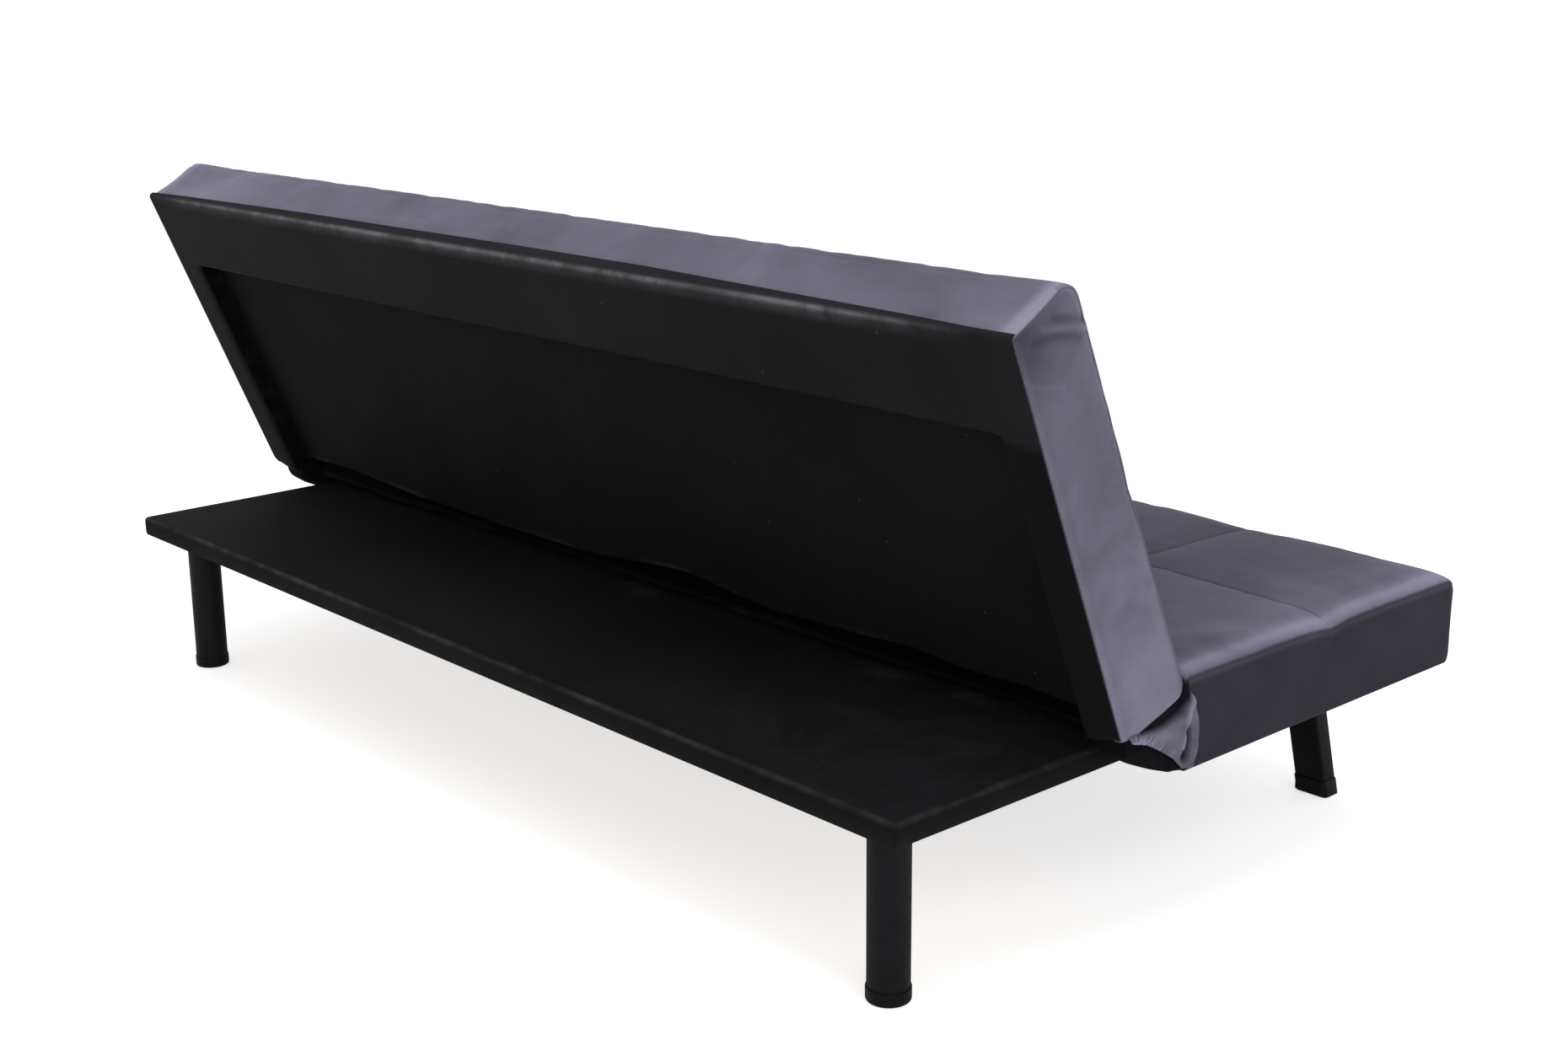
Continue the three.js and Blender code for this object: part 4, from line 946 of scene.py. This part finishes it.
def from_line(y, z, line):
    """Distance of points from a broken line in the plane of the sofa's end."""
    nearest = np.full(len(y), 1e9)
    for (y0, z0), (y1, z1) in zip(line, line[1:]):
        length = math.hypot(y1 - y0, z1 - z0)
        part = clamp(((y - y0) * (y1 - y0) + (z - z0) * (z1 - z0)) / length**2)
        off_line = np.hypot(y - y0 - part * (y1 - y0), z - z0 - part * (z1 - z0))
        nearest = np.minimum(nearest, off_line)
    return nearest


def pinch(piece, side, line, depth, width, crease_light):
    """A crease in one end of a cushion: a dent along a line, with painted shade along it for a negative
    last number and a painted highlight for a positive one.
    """
    points = points_of(piece)
    x, y, z = points.T
    on_end = clamp((side * x - HALF_LENGTH + 0.012) / 0.006)
    near = bell(from_line(y, z, line), width) * on_end
    points[:, 0] -= side * depth * near
    set_points(piece, points)
    pile = piece.data.attributes["nap_and_painted_light"].data
    values = np.empty(len(points), np.float32)
    pile.foreach_get("value", values)
    pile.foreach_set("value", (values + crease_light * near).astype(np.float32))
    print("pinched", int((near > 0.5).sum()), "points")


def is_gathered(face):
    """The upper part of a cushion's end, where its cover is gathered at the corner."""
    return abs(face.normal.x) > 0.6 and face.calc_center_median().z > GATHERED_ABOVE


pick(back, "FACE", is_gathered)
bpy.ops.mesh.subdivide(number_cuts=2)
bpy.ops.object.mode_set(mode="OBJECT")
for line, depth, width, crease_light in CORNER_CREASES:
    pinch(back, -1, line, depth, width, crease_light)
    pinch(back, 1, [(y, z - 0.004) for y, z in line], 0.7 * depth, 1.3 * width, 0.7 * crease_light)
dress(back, velvet, "backrest", "back_cover", angle=60)

# %% [markdown]
# ## The lining on the back
# A sheet of lining closes the rear: a band along the top, a border at each end and a sunk field.
# The field is extruded inwards from the sheet, and its walls are cut into rows for creases.

# %% Make the back lining
def cloth_sheet(name, xs, ys):
    """A flat sheet with lines at xs and ys."""
    piece = new_grid(name, xs, ys)
    across, along = line_numbers(piece, xs, ys)
    set_points(piece, np.column_stack([xs[across], ys[along], np.zeros(len(across))]))
    return piece


LINING_CELL = 0.012
LINING_EDGE = HALF_LENGTH - 0.001
RIM, HEM_TUCK, BORDER_TUCK = 0.007, 0.006, 0.010
ROOT = BACK_ROOT + 0.004
EDGE_TURN = 0.006
FOLD_LINE, OVERLAP = BACK_TIP - EDGE_TURN, 0.018
lining_xs = spaced([-LINING_EDGE, -RECESS_HALF, RECESS_HALF, LINING_EDGE], LINING_CELL)
lining_ys = spaced([ROOT, RECESS_TOP, FOLD_LINE], LINING_CELL)
lining_ys = np.concatenate([lining_ys, np.linspace(FOLD_LINE, FOLD_LINE + OVERLAP, 13)[1:]])
lining = cloth_sheet("back_cloth", lining_xs, lining_ys)


def in_field(face):
    centre = face.calc_center_median()
    return abs(centre.x) < RECESS_HALF and centre.y < RECESS_TOP


def is_root_wall(face):
    return abs(face.normal.y) > 0.5 and face.calc_center_median().y < ROOT + 0.001


def at_root(edge, low, high):
    return edge.is_boundary and all(v.co.y < ROOT + 0.001 and low < v.co.z < high for v in edge.verts)


def on_rim(edge):
    """The edge where the walls of the recess meet the band and the borders."""
    return sum(abs(v.co.z) for v in edge.verts) < 1e-5 and is_sharp(edge)


pick(lining, "FACE", in_field)
extrude_up(RECESS_DEPTH)
pick(lining, "FACE", is_root_wall)
bpy.ops.mesh.delete(type="FACE")
pick(lining, "EDGE", lambda edge: rise(edge) > RECESS_DEPTH / 2)
bpy.ops.mesh.subdivide(number_cuts=4)
pick(lining, "EDGE", on_rim)
bpy.ops.mesh.bevel(offset=RIM, segments=3, affect="EDGES")
pick(lining, "EDGE", lambda edge: at_root(edge, RECESS_DEPTH - 0.001, 1))
extrude_up(HEM_TUCK)
pick(lining, "EDGE", lambda edge: at_root(edge, -1, 0.001))
extrude_up(BORDER_TUCK)
turn_faces(lining, bpy.ops.mesh.flip_normals)
print(lining.name, len(lining.data.vertices), "vertices")

# %% Fold the lining over the top and crease it
BOW_PLACES = [-0.9, -0.846, -0.754, -0.553, -0.321, -0.052, 0.2, 0.444, 0.641, 0.8, 0.9]
BOW_HEIGHTS = [0.0, 0.0, 0.003, 0.007, 0.012, 0.012, 0.010, 0.009, 0.006, 0.003, 0.0]
HEM_PLACES = [
    -0.80, -0.744, -0.64, -0.56, -0.487, -0.38, -0.297, -0.16, -0.046, 0.079, 0.245, 0.371, 0.509, 0.701,
]
HEM_DIPS_MM = [-2, 3, 0, 7, 0, -5, -7, 10, 3, -12, -16, -13, -13, -2]
HEM_REACH, BORDER_DROP, BORDER_TURN = 0.06, -0.012, 0.856
FOLD_SLACK, FOLD_LIFT, FOLD_LEAN = 0.002, 0.0012, 0.15
OFF_FOAM, TAUT, LOOSE, WALL_CREASE = 0.0006, 0.0015, 0.0035, 0.002
FREE_BELOW, FREE_INSIDE = 0.15, 0.1
px, py, pz = points_of(lining).T
depth = clamp(pz / RECESS_DEPTH)
on_top = py > FOLD_LINE - 1e-6
bow = np.interp(px, BOW_PLACES, BOW_HEIGHTS)
turn_end = EDGE_TURN * math.pi / 2
run = np.clip((py - FOLD_LINE) / OVERLAP, 0, None) * (turn_end + FOLD_SLACK + bow)
past_turn = np.maximum(0, run - turn_end)
angle = np.clip(run / EDGE_TURN, 0, math.pi / 2)
folded_y = FOLD_LINE + EDGE_TURN * np.sin(angle) + FOLD_LIFT + FOLD_LEAN * past_turn
folded_z = EDGE_TURN * (1 - np.cos(angle)) + past_turn
free = clamp((RECESS_TOP - py) / FREE_BELOW) * clamp((RECESS_HALF - np.abs(px)) / FREE_INSIDE)
ripple = waves(px, py, 3, 14, 0.5, 0.09) * (TAUT + LOOSE * free) * (depth > 0.99)
wall_ripple = waves(py, pz, 5, 10, 0.12, 0.05) * WALL_CREASE * ((depth > 0.1) & (depth < 0.99))
near_root = clamp(1 - (py - ROOT) / HEM_REACH)
hem_low = np.interp(px, HEM_PLACES, np.array(HEM_DIPS_MM) / 1000)
border_stops = [RECESS_HALF, BORDER_TURN, LINING_EDGE]
border_low = np.interp(np.abs(px), border_stops, [BORDER_DROP, BORDER_DROP, 0.0])
low_edge = np.where(depth > 0.5, hem_low, border_low)
new_y = np.where(on_top, folded_y, py + (low_edge - ROOT) * near_root)
new_z = np.where(on_top, folded_z, pz) - OFF_FOAM + ripple
set_points(lining, turned_up(px + np.sign(px) * wall_ripple, new_y, new_z))

# %% Paint highlights, glints and lint on it, and shade into its hollows
HIGHLIGHT_AT, HIGHLIGHT_WIDTH, HIGHLIGHT_NEEDS_BOW = 0.0035, 0.0030, 0.006
HEM_WIDTH, BAND_SHADE_WIDTH, CORNER_SHADE_WIDTH = 0.005, 0.014, 0.02
edge_highlight = 1.2 * bell(run - HIGHLIGHT_AT, HIGHLIGHT_WIDTH) * on_top * clamp(bow / HIGHLIGHT_NEEDS_BOW)
rim_pale = 0.06 * (depth > 0.01) * (depth < 0.2) * (px > 0)
far_wall = (px > RECESS_HALF - 0.004) & (depth > 0.2) & (depth < 0.99)
glints = 0.16 * clamp(waves(py, pz * 0.2, 7, 9, 0.06, 0.03) * 3 - 0.5) * far_wall
at_hem = (depth > 0.99) * bell(py - ROOT, HEM_WIDTH)
hem_lint = 0.30 * at_hem * clamp(waves(px, py, 9, 9, 0.25, 0.02) * 4 - 0.2)
# Painted highlight along the folded top edge, a paler band near the rim on the +x half, painted glints
# on the far wall, and lint along the hem.
paint(lining, "wear_and_painted_highlight", clamp(edge_highlight + rim_pale + glints + hem_lint))
# Painted shade under the band, in the recess corners and on the far wall; the border at the -x end is
# painted darker, more so higher up.
in_recess = (depth > 0.9) * (np.abs(px) <= RECESS_HALF + 0.001)
below_band = (depth > 0.9) * bell(RECESS_TOP - py, BAND_SHADE_WIDTH) * (py < RECESS_TOP + 0.001)
in_corner = in_recess * bell(RECESS_HALF - np.abs(px), CORNER_SHADE_WIDTH)
far_border = (px < -RECESS_HALF) * (depth < 0.2) * (py < RECESS_TOP)
far_border = far_border * clamp(0.6 + py / RECESS_TOP * 0.3)
paint(lining, "hollow", clamp(0.85 * below_band + 0.6 * in_corner + 0.5 * far_wall + far_border))
subdivide_smooth(lining)
dress(lining, band_lining, "backrest", "back_dust_cover", angle=50)
# The sunk field takes the darker lining, which is partly painted shade.
FIELD_BELOW_RIM, BAND_ABOVE = 0.005, 0.7
lining.data.materials.append(field_lining)
for face in lining.data.polygons:
    x, y, z = face.center
    sunk = -(y - PIVOT_Y) * math.sin(FOLD) + (z - PIVOT_Z) * math.cos(FOLD) - BACK_UNDER
    face.material_index = int(sunk > FIELD_BELOW_RIM and z < BAND_ABOVE)

# %% [markdown]
# ## The deck
# The deck is a thin frame wrapped in the same lining, pulled tight on top and stapled below.

# %% Make the deck cloth
(deck_x0, deck_y0, deck_z0), (deck_x1, deck_y1, deck_z1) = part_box("deck_cover")
DECK_ROUND, DECK_RETURN, DECK_CELL = 0.007, 0.028, 0.014
deck_xs = spaced([deck_x0, deck_x0 + DECK_ROUND, deck_x1 - DECK_ROUND, deck_x1], DECK_CELL)
deck_ys = spaced([deck_y0, deck_y0 + DECK_ROUND, deck_y1 - DECK_ROUND, deck_y1], DECK_CELL)
deck = cloth_sheet("deck_cloth", deck_xs, deck_ys)
set_points(deck, points_of(deck) + [0, 0, deck_z1])
pick(deck, "EDGE", lambda edge: edge.is_boundary)
extrude_up(deck_z0 - deck_z1)
extrude_up(0)
half_x, half_y = (deck_x1 - deck_x0) / 2, (deck_y1 - deck_y0) / 2
bpy.ops.transform.resize(
    value=(1 - DECK_RETURN / half_x, 1 - DECK_RETURN / half_y, 1),
    center_override=((deck_x0 + deck_x1) / 2, (deck_y0 + deck_y1) / 2, deck_z0),
)
pick(deck, "EDGE", is_sharp)
bpy.ops.mesh.bevel(offset=DECK_ROUND, segments=4, affect="EDGES")
outwards(deck)

# %% Let the deck cloth sag and wear
MOST_SAG, SAG_DEPTH, SAG_FADE = 0.0010, 0.0016, 0.05
SNUG, SIDE_RIPPLE = 0.0007, 0.0007
ARRIS_BELOW, ARRIS_WIDTH = 0.0022, 0.0028
DUST_ALONG, DUST_DEEP, DUST_REACH = 0.12, 0.16, 0.26
points = points_of(deck)
px, py, pz = points.T
flat_top = pz > deck_z1 - 0.001
from_rim = np.minimum(half_x - np.abs(px), half_y - np.abs(py - (deck_y0 + deck_y1) / 2))
sag = waves(px, py, 11, 16, 0.6, 0.12) * SAG_DEPTH * clamp(from_rim / SAG_FADE)
points[:, 2] -= MOST_SAG * np.tanh(sag / MOST_SAG) * flat_top
side_ripple = waves(px + py, pz, 13, 12, 0.25, 0.05) * SIDE_RIPPLE
points[:, 0] -= np.sign(px) * (SNUG + side_ripple) * (np.abs(px) > deck_x1 - 0.001)
points[:, 1] -= (SNUG + side_ripple) * (py > deck_y1 - 0.001)
set_points(deck, points)
round_low = deck_z1 - DECK_ROUND - 0.0005
rounding = (pz < deck_z1 - 0.0005) & (pz > round_low)
sides = (pz <= round_low) & (pz > deck_z0 + 0.001)
arris = bell(pz - (deck_z1 - ARRIS_BELOW), ARRIS_WIDTH) * (pz > deck_z0 + 0.01)
wander = 0.55 + 0.45 * waves(px + 2 * py, pz, 17, 9, 0.3, 0.03) * 2
dusty = 0.022 * clamp(waves(px * 0.5, py, 19, 10, 0.5, 0.12) * 3 - 0.35) * flat_top
from_dust = np.hypot(px - deck_x0 - DUST_ALONG, py - deck_y1 + DUST_DEEP)
near_corner = 0.20 * bell(from_dust, DUST_REACH) * flat_top
# Paler in a wandering line along the rounded top edge and a little on the sides, with patches of dust
# and a dusty smear near one corner.
paint(deck, "wear_and_painted_highlight", clamp(arris * rounding * wander) * 0.8 + 0.10 * sides + dusty + near_corner)
dress(deck, deck_lining, "base", "deck_cover", angle=50)

# %% [markdown]
# ## The cloth in the hinge
# A strip of lining closes the gap between the seat and the backrest, so that nothing falls in.
# It hangs as a soft belly on the deck. Beyond each end of the deck it makes a pouch, and a
# gathered velvet gusset covers that from outside.

# %% Make the belly over the deck
OVER_DECK = [
    (0.152, 0.290), (0.146, 0.266), (0.137, 0.2515), (0.122, 0.2470),
    (0.106, 0.2455), (0.095, 0.2455), (0.0868, 0.250), (0.0862, 0.262),
]
BELLY_HALF = 0.842
BELLY_WAVE, BELLY_DIP = 0.016, -0.15
DARK_ABOVE, DARK_FADE, DUSTY_BELOW = 0.2580, 0.005, 0.262


def along_line(stops, shares):
    """Points of a broken line, at shares of its length."""
    stops = np.asarray(stops, float)
    steps = np.linalg.norm(np.diff(stops, axis=0), axis=1)
    reached = np.concatenate([[0], np.cumsum(steps)]) / steps.sum()
    return np.column_stack([np.interp(shares, reached, column) for column in stops.T])


belly = cloth_sheet("hinge_belly", np.linspace(-BELLY_HALF, BELLY_HALF, 150), np.linspace(0, 1, 27))
px, share, _ = points_of(belly).T
section = along_line(OVER_DECK, share)
middle_part = np.sin(np.pi * share) ** 0.7
shift = waves(px, share * 0.1, 21, 9, 0.45, 0.11) * BELLY_WAVE * middle_part
swell = np.maximum(BELLY_DIP, waves(px, share * 0.25, 23, 12, 0.22, 0.06)) * BELLY_WAVE * middle_part
set_points(belly, np.column_stack([px, section[:, 0] + shift, section[:, 1] + swell]))
subdivide_smooth(belly)
px, py, pz = points_of(belly).T
streaks = clamp(waves(px * 0.7, py, 27, 9, 0.2, 0.04) * 2.5 - 0.4)
paint(belly, "wear_and_painted_highlight", (0.14 + 0.30 * streaks) * (pz < DUSTY_BELOW))
# Painted shade at the top of the belly, in the gap under the hem.
paint(belly, "hollow", clamp((pz - DARK_ABOVE) / DARK_FADE))
dress(belly, shaded_hinge_lining, None, "joint_gusset", angle=60)
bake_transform(belly)

# %% Make the pouches past the ends of the deck
END_HEM = [
    (0.1816, 0.2723), (0.1508, 0.2613), (0.1236, 0.2453),
    (0.1051, 0.2329), (0.0907, 0.2186), (0.0766, 0.2118),
]
END_LOW = [
    (0.1759, 0.2477), (0.1580, 0.2355), (0.1423, 0.2283), (0.1197, 0.2184),
    (0.0968, 0.2098), (0.0878, 0.2088), (0.0718, 0.2074),
]
SEAT_WALL = 0.0862
CLOSED_SHARE = 0.2
CLOSED_AT = (0.1810, 0.2745)
POUCH_CREASE = 0.0022
ACROSS_POUCH = np.array([0, 0.12, 0.3, 0.5, 0.68, 0.84, 1.0])
pouch = cloth_sheet("hinge_pouch_left", np.linspace(-CLOSED_SHARE, 1, 57), np.linspace(0, 1, 31))
from_start, t, _ = points_of(pouch).T
closing = clamp(-from_start / CLOSED_SHARE)
r = np.maximum(from_start, 0)
hem, low, inner = (along_line(line, r).T for line in (END_HEM, END_LOW, OVER_DECK))
behind = np.maximum(low[0], SEAT_WALL)
way = np.array([
    [np.full(len(r), x), y, z]
    for x, y, z in (
        (-0.8948, hem[0], hem[1] + 0.004),
        (-0.8940, 0.5 * (hem[0] + low[0]), 0.5 * (hem[1] + low[1])),
        (-0.8895, low[0], low[1] + 0.002),
        (-0.8780, low[0], low[1]),
        (-0.8580, behind, low[1] + 0.001),
        (-0.8465, behind, low[1] + 0.010),
        (-0.8430, np.maximum(inner[0], SEAT_WALL), inner[1]),
    )
])
stop = np.clip(np.searchsorted(ACROSS_POUCH, t, side="right") - 1, 0, len(ACROSS_POUCH) - 2)
part = (t - ACROSS_POUCH[stop]) / (ACROSS_POUCH[stop + 1] - ACROSS_POUCH[stop])
each = np.arange(len(t))
placed = way[stop, :, each] + (way[stop + 1, :, each] - way[stop, :, each]) * part[:, None]
placed[:, 1] += (CLOSED_AT[0] - placed[:, 1]) * closing
placed[:, 2] += (CLOSED_AT[1] - placed[:, 2]) * closing**1.5
placed[:, 0] += waves(r, t, 31, 8, 0.5, 0.12) * POUCH_CREASE * np.sin(np.pi * clamp(t / 0.4))
set_points(pouch, placed)
finish_with(pouch, "SMOOTH", factor=0.5, iterations=2)
subdivide_smooth(pouch)
outwards(pouch)
paint(pouch, "wear_and_painted_highlight", np.full(len(pouch.data.vertices), 0.12))
for piece in (pouch, twin(pouch, "hinge_pouch_right")):
    dress(piece, shaded_hinge_lining, None, "joint_gusset", angle=60)
    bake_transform(piece)

# %% Lay out a gathered velvet gusset
UPPER = [(0.1816, 0.2723), (0.1581, 0.2748), (0.1217, 0.2843), (0.0960, 0.2983), (0.0870, 0.3137)]
LOWER = [*END_HEM[:-1], (0.0770, 0.2150), (0.0725, 0.2178)]
FRONT = [(0.0846, 0.3150), (0.0757, 0.2962), (0.0644, 0.2653), (0.0629, 0.2440), (0.0725, 0.2178)]
RIDGE = [(0.0800, 0.3000), (0.0777, 0.2938), (0.0903, 0.2630), (0.0958, 0.2453)]
POCKET = [(0.0850, 0.2600), (0.0837, 0.2495), (0.0860, 0.2304)]
STRIP = [(0.0770, 0.2980), (0.0680, 0.2680), (0.0662, 0.2440), (0.0720, 0.2180)]
gusset = cloth_sheet("velvet_gusset_left", np.linspace(0, 1, 131), np.linspace(0, 1, 41))
r, s, _ = points_of(gusset).T
upper, lower, front = along_line(UPPER, r), along_line(LOWER, r), along_line(FRONT, s)
corner_high, corner_low = np.array(UPPER[-1]), np.array(LOWER[-1])
straight = corner_high + (corner_low - corner_high) * s[:, None]
flat_place = upper + (lower - upper) * s[:, None] + (front - straight) * (r**3)[:, None]
tucked = clamp(1 - s / 0.12)
y = flat_place[:, 0] + 0.002 * tucked
z = flat_place[:, 1] + 0.006 * tucked

# %% Fold and gather it
TUCKED_X, OUT_OF_TUCK, OVER_SEAT_X = 0.8905, 0.0090, 0.9025
WEDGE_ALONG, WEDGE_DEEP = [0, 0.12, 0.4, 0.85, 1], [0.0, 0.02, 0.27, 0.22, 0.08]
BELLY_OUT, RIDGE_OUT, STRIP_OUT, HEM_OUT = 0.0030, 0.0045, 0.0022, 0.0012
POCKET_IN, TIP_IN = 0.0075, 0.0020
CRUMPLE = 0.0022
wedge = np.interp(r, WEDGE_ALONG, WEDGE_DEEP)
emerge = clamp((s - wedge + 0.10) / 0.20)
emerge = emerge**2 * (3 - 2 * emerge)
outer = TUCKED_X + OUT_OF_TUCK * emerge
outer += BELLY_OUT * np.sin(np.pi * clamp((s - wedge) / (1.001 - wedge)))
outer += RIDGE_OUT * bell(from_line(y, z, RIDGE), 0.0045)
outer -= POCKET_IN * bell(from_line(y, z, POCKET), 0.0050) * emerge
over_seat = clamp((r - 0.86) / 0.08)
outer = outer * (1 - over_seat) + np.maximum(outer, OVER_SEAT_X) * over_seat
outer += STRIP_OUT * bell(from_line(y, z, STRIP), 0.0035)
outer -= TIP_IN * clamp((r - 0.975) / 0.025)
reach = np.linalg.norm(lower - upper, axis=1) * (1 - s)
slanted = r + 0.25 * s


def gathered(count, wobble, pace, depth, fade):
    """Uneven gathers that start at the lower edge and fade out above it."""
    folds = np.sin(slanted * 2 * math.pi * count + wobble * np.sin(slanted * pace))
    return depth * folds * np.exp(-reach / fade)


gathers = gathered(18, 2.5, 23, 0.0020, 0.0070) + gathered(9, 4.0, 13, 0.0009, 0.008)
gathers *= clamp(1.6 - 2.2 * r) * emerge
crumple = waves(y * 0.6 + z, z - y * 0.3, 41, 9, 0.045, 0.012) * CRUMPLE * emerge
outer += crumple + gathers + HEM_OUT * np.exp(-reach / 0.003)
set_points(gusset, np.column_stack([-outer, y, z]))
# The velvet's tone: painted shade in the tucked wedge and in the pocket, a painted highlight along the
# ridge, and lighter and darker stripes painted with the gathers and crumples.
tone_and_light = 0.66 - 0.85 * (1 - emerge) - 0.62 * bell(from_line(y, z, POCKET), 0.0068)
tone_and_light += 0.26 * bell(from_line(y, z, RIDGE), 0.0022) * emerge
tone_and_light += 230 * gathers + 60 * crumple
paint(gusset, "nap_and_painted_light", np.clip(tone_and_light, -0.15, 1))
finish_with(gusset, "SOLIDIFY", thickness=0.0010, offset=-1)
outwards(gusset)

# %% Dress the gussets at both ends
SHADED_BELOW = 0.25


def shade_hollows(piece):
    """Give the deep faces of a gusset the copy of the velvet that has little sheen, as painted shade."""
    piece.data.materials.append(shaded_velvet)
    tone_and_light_values = piece.data.attributes["nap_and_painted_light"].data
    for face in piece.data.polygons:
        face.material_index = int(np.mean([tone_and_light_values[i].value for i in face.vertices]) < SHADED_BELOW)


for piece, side in ((gusset, "left"), (twin(gusset, "velvet_gusset_right"), "right")):
    dress(piece, velvet, None, f"end_gusset_{side}", angle=70)
    shade_hollows(piece)
    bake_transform(piece)

# %% [markdown]
# ## The legs
# Two round posts carry the rear and two flat planks, raked forward, carry the front.
# Each stands in a moulded ferrule. One of each is made and its twin is mirrored.

# %% Make the rear legs and their ferrules
CUP_FLOOR = 0.0041


def round_post(name, node, bottom_bevel, top_bevel):
    """A round post that fills the box of its node, with a bevel at each end."""
    low, high = (np.array(corner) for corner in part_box(node))
    size = high - low
    post = primitive(
        name,
        bpy.ops.mesh.primitive_cylinder_add,
        vertices=64,
        radius=size[0] / 2,
        depth=size[2],
        location=(low + high) / 2,
    )
    settle(post)
    for height, width in ((low[2], bottom_bevel), (high[2], top_bevel)):
        pick(post, "EDGE", lambda edge: all(abs(v.co.z - height) < 1e-5 for v in edge.verts))
        bpy.ops.mesh.bevel(offset=width, segments=4, affect="EDGES")
        bpy.ops.object.mode_set(mode="OBJECT")
    return post


def open_top(piece, wall):
    """Sink the top face of a ferrule to its floor, leaving a wall."""
    top = points_of(piece)[:, 2].max()
    pick(piece, "FACE", lambda f: f.normal.z > 0.9 and f.calc_center_median().z > top - 1e-4)
    bpy.ops.mesh.inset(thickness=wall)
    extrude_up(CUP_FLOOR - top)
    bpy.ops.object.mode_set(mode="OBJECT")


def dress_pair(right, node, material):
    """Dress a piece on the right, and its mirrored twin on the left."""
    left = twin(right, right.name.replace("_right", "_left"))
    for piece, side in ((right, "right"), (left, "left")):
        dress(piece, material, "base", f"{node}_{side}")


rear_leg = round_post("rear_post_right", "rear_leg_right", 0.0015, 0.0015)
dress_pair(rear_leg, "rear_leg", leg_paint)
rear_cap = round_post("rear_ferrule_right", "rear_leg_cap_right", 0.003, 0.0003)
open_top(rear_cap, 0.0007)
dress_pair(rear_cap, "rear_leg_cap", ferrule)

# %% Make the front legs and their ferrules
FRONT_RAKE = 0.061 / 0.211
END_BEVEL = 0.0008


def raked_plank(name, node, width, thickness, round_edge):
    """A plank that leans forward: a box sheared by moving its top face."""
    low, high = (np.array(corner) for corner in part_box(node))
    middle, height = (low + high) / 2, high[2] - low[2]
    clouded_tone_and_light = FRONT_RAKE * height
    foot = (middle[0], middle[1] - clouded_tone_and_light / 2, middle[2])
    plank = primitive(name, bpy.ops.mesh.primitive_cube_add, size=1, location=foot)
    plank.scale = (width, thickness, height)
    settle(plank)
    pick(plank, "VERT", lambda v: v.co.z > middle[2])
    bpy.ops.transform.translate(value=(0, clouded_tone_and_light, 0))
    pick(plank, "EDGE", lambda edge: rise(edge) > height / 2)
    bpy.ops.mesh.bevel(offset=round_edge, segments=5, affect="EDGES")
    pick(plank, "EDGE", lambda edge: rise(edge) < 1e-6)
    bpy.ops.mesh.bevel(offset=END_BEVEL, segments=2, affect="EDGES")
    bpy.ops.object.mode_set(mode="OBJECT")
    return plank


front_leg = raked_plank("front_plank_right", "front_leg_right", 0.046, 0.030, 0.005)
dress_pair(front_leg, "front_leg", shaded_front_paint)
front_cap = raked_plank("front_ferrule_right", "front_leg_cap_right", 0.0486, 0.0326, 0.006)
open_top(front_cap, 0.0010)
dress_pair(front_cap, "front_leg_cap", ferrule)

# %% [markdown]
# ## Floor and light
# A pale floor keeps the shadow and fades to plain white away from the sofa. A wide lamp overhead
# and a softer one behind the camera light the cloth at a plain level.

# %% Lay the floor
FLOOR_GLOW = 0.66
FADE_START, FADE_END = 1.1, 3.2
floor = primitive("studio_floor", bpy.ops.mesh.primitive_plane_add, size=60, location=(0, 0, -0.0005))
floor_finish, tree, shader = new_finish("pale_floor", Roughness=0.9, Specular_IOR_Level=0.05)
feed(tree, shader, Base_Color=(0.94, 0.94, 0.94, 1))
coordinates = put(tree, "ShaderNodeTexCoord")
distance = put(tree, "ShaderNodeVectorMath", (coordinates, "Object"), operation="LENGTH")
fade = put(
    tree,
    "ShaderNodeMapRange",
    (distance, "Value"),
    FADE_START,
    FADE_END,
    interpolation_type="SMOOTHSTEP",
)
path = put(tree, "ShaderNodeLightPath")
glow = put(tree, "ShaderNodeEmission")
feed(tree, glow, Strength=maths(tree, "MULTIPLY", (path, "Is Camera Ray"), FLOOR_GLOW))
lit_floor = put(tree, "ShaderNodeAddShader", (shader, "BSDF"), (glow, "Emission"))
white = put(tree, "ShaderNodeEmission", Strength=1.0)
blend_in = put(tree, "ShaderNodeMixShader", (fade, "Result"), (lit_floor, 0), (white, "Emission"))
feed(tree, tree.nodes["Material Output"], Surface=(blend_in, 0))
floor.data.materials.append(floor_finish)

# %% Light the studio
SOFT_LEVEL = 0.45
world = bpy.data.worlds.new("studio")
bpy.context.scene.world = world
world.use_nodes = True
tree = world.node_tree
path = put(tree, "ShaderNodeLightPath")
seen = maths(tree, "MAXIMUM", (path, "Is Camera Ray"), (path, "Is Glossy Ray"))
seen = maths(tree, "MAXIMUM", seen, (path, "Is Transmission Ray"))
level = rescale(tree, seen, end=(SOFT_LEVEL, 1.0))
feed(tree, tree.nodes["Background"], Color=(1, 1, 1, 1), Strength=level)


def lamp(name, size, power, place, target):
    """A square soft lamp that faces a point."""
    data = bpy.data.lights.new(name, "AREA")
    data.shape = "SQUARE"
    data.size = size
    data.energy = power
    light = bpy.data.objects.new(name, data)
    bpy.context.collection.objects.link(light)
    light.location = place
    towards = np.array(target) - np.array(place)
    flat = math.hypot(towards[0], towards[1])
    light.rotation_euler = (math.atan2(flat, -towards[2]), 0, math.atan2(-towards[0], towards[1]))


lamp("overhead", 3.0, 36, (-0.4, 0.2, 3.2), (0, 0, 0.3))
lamp("beside_camera", 2.0, 22, (-3.2, 1.2, 2.0), (0, 0, 0.4))
print("lights:", len(bpy.data.lights))
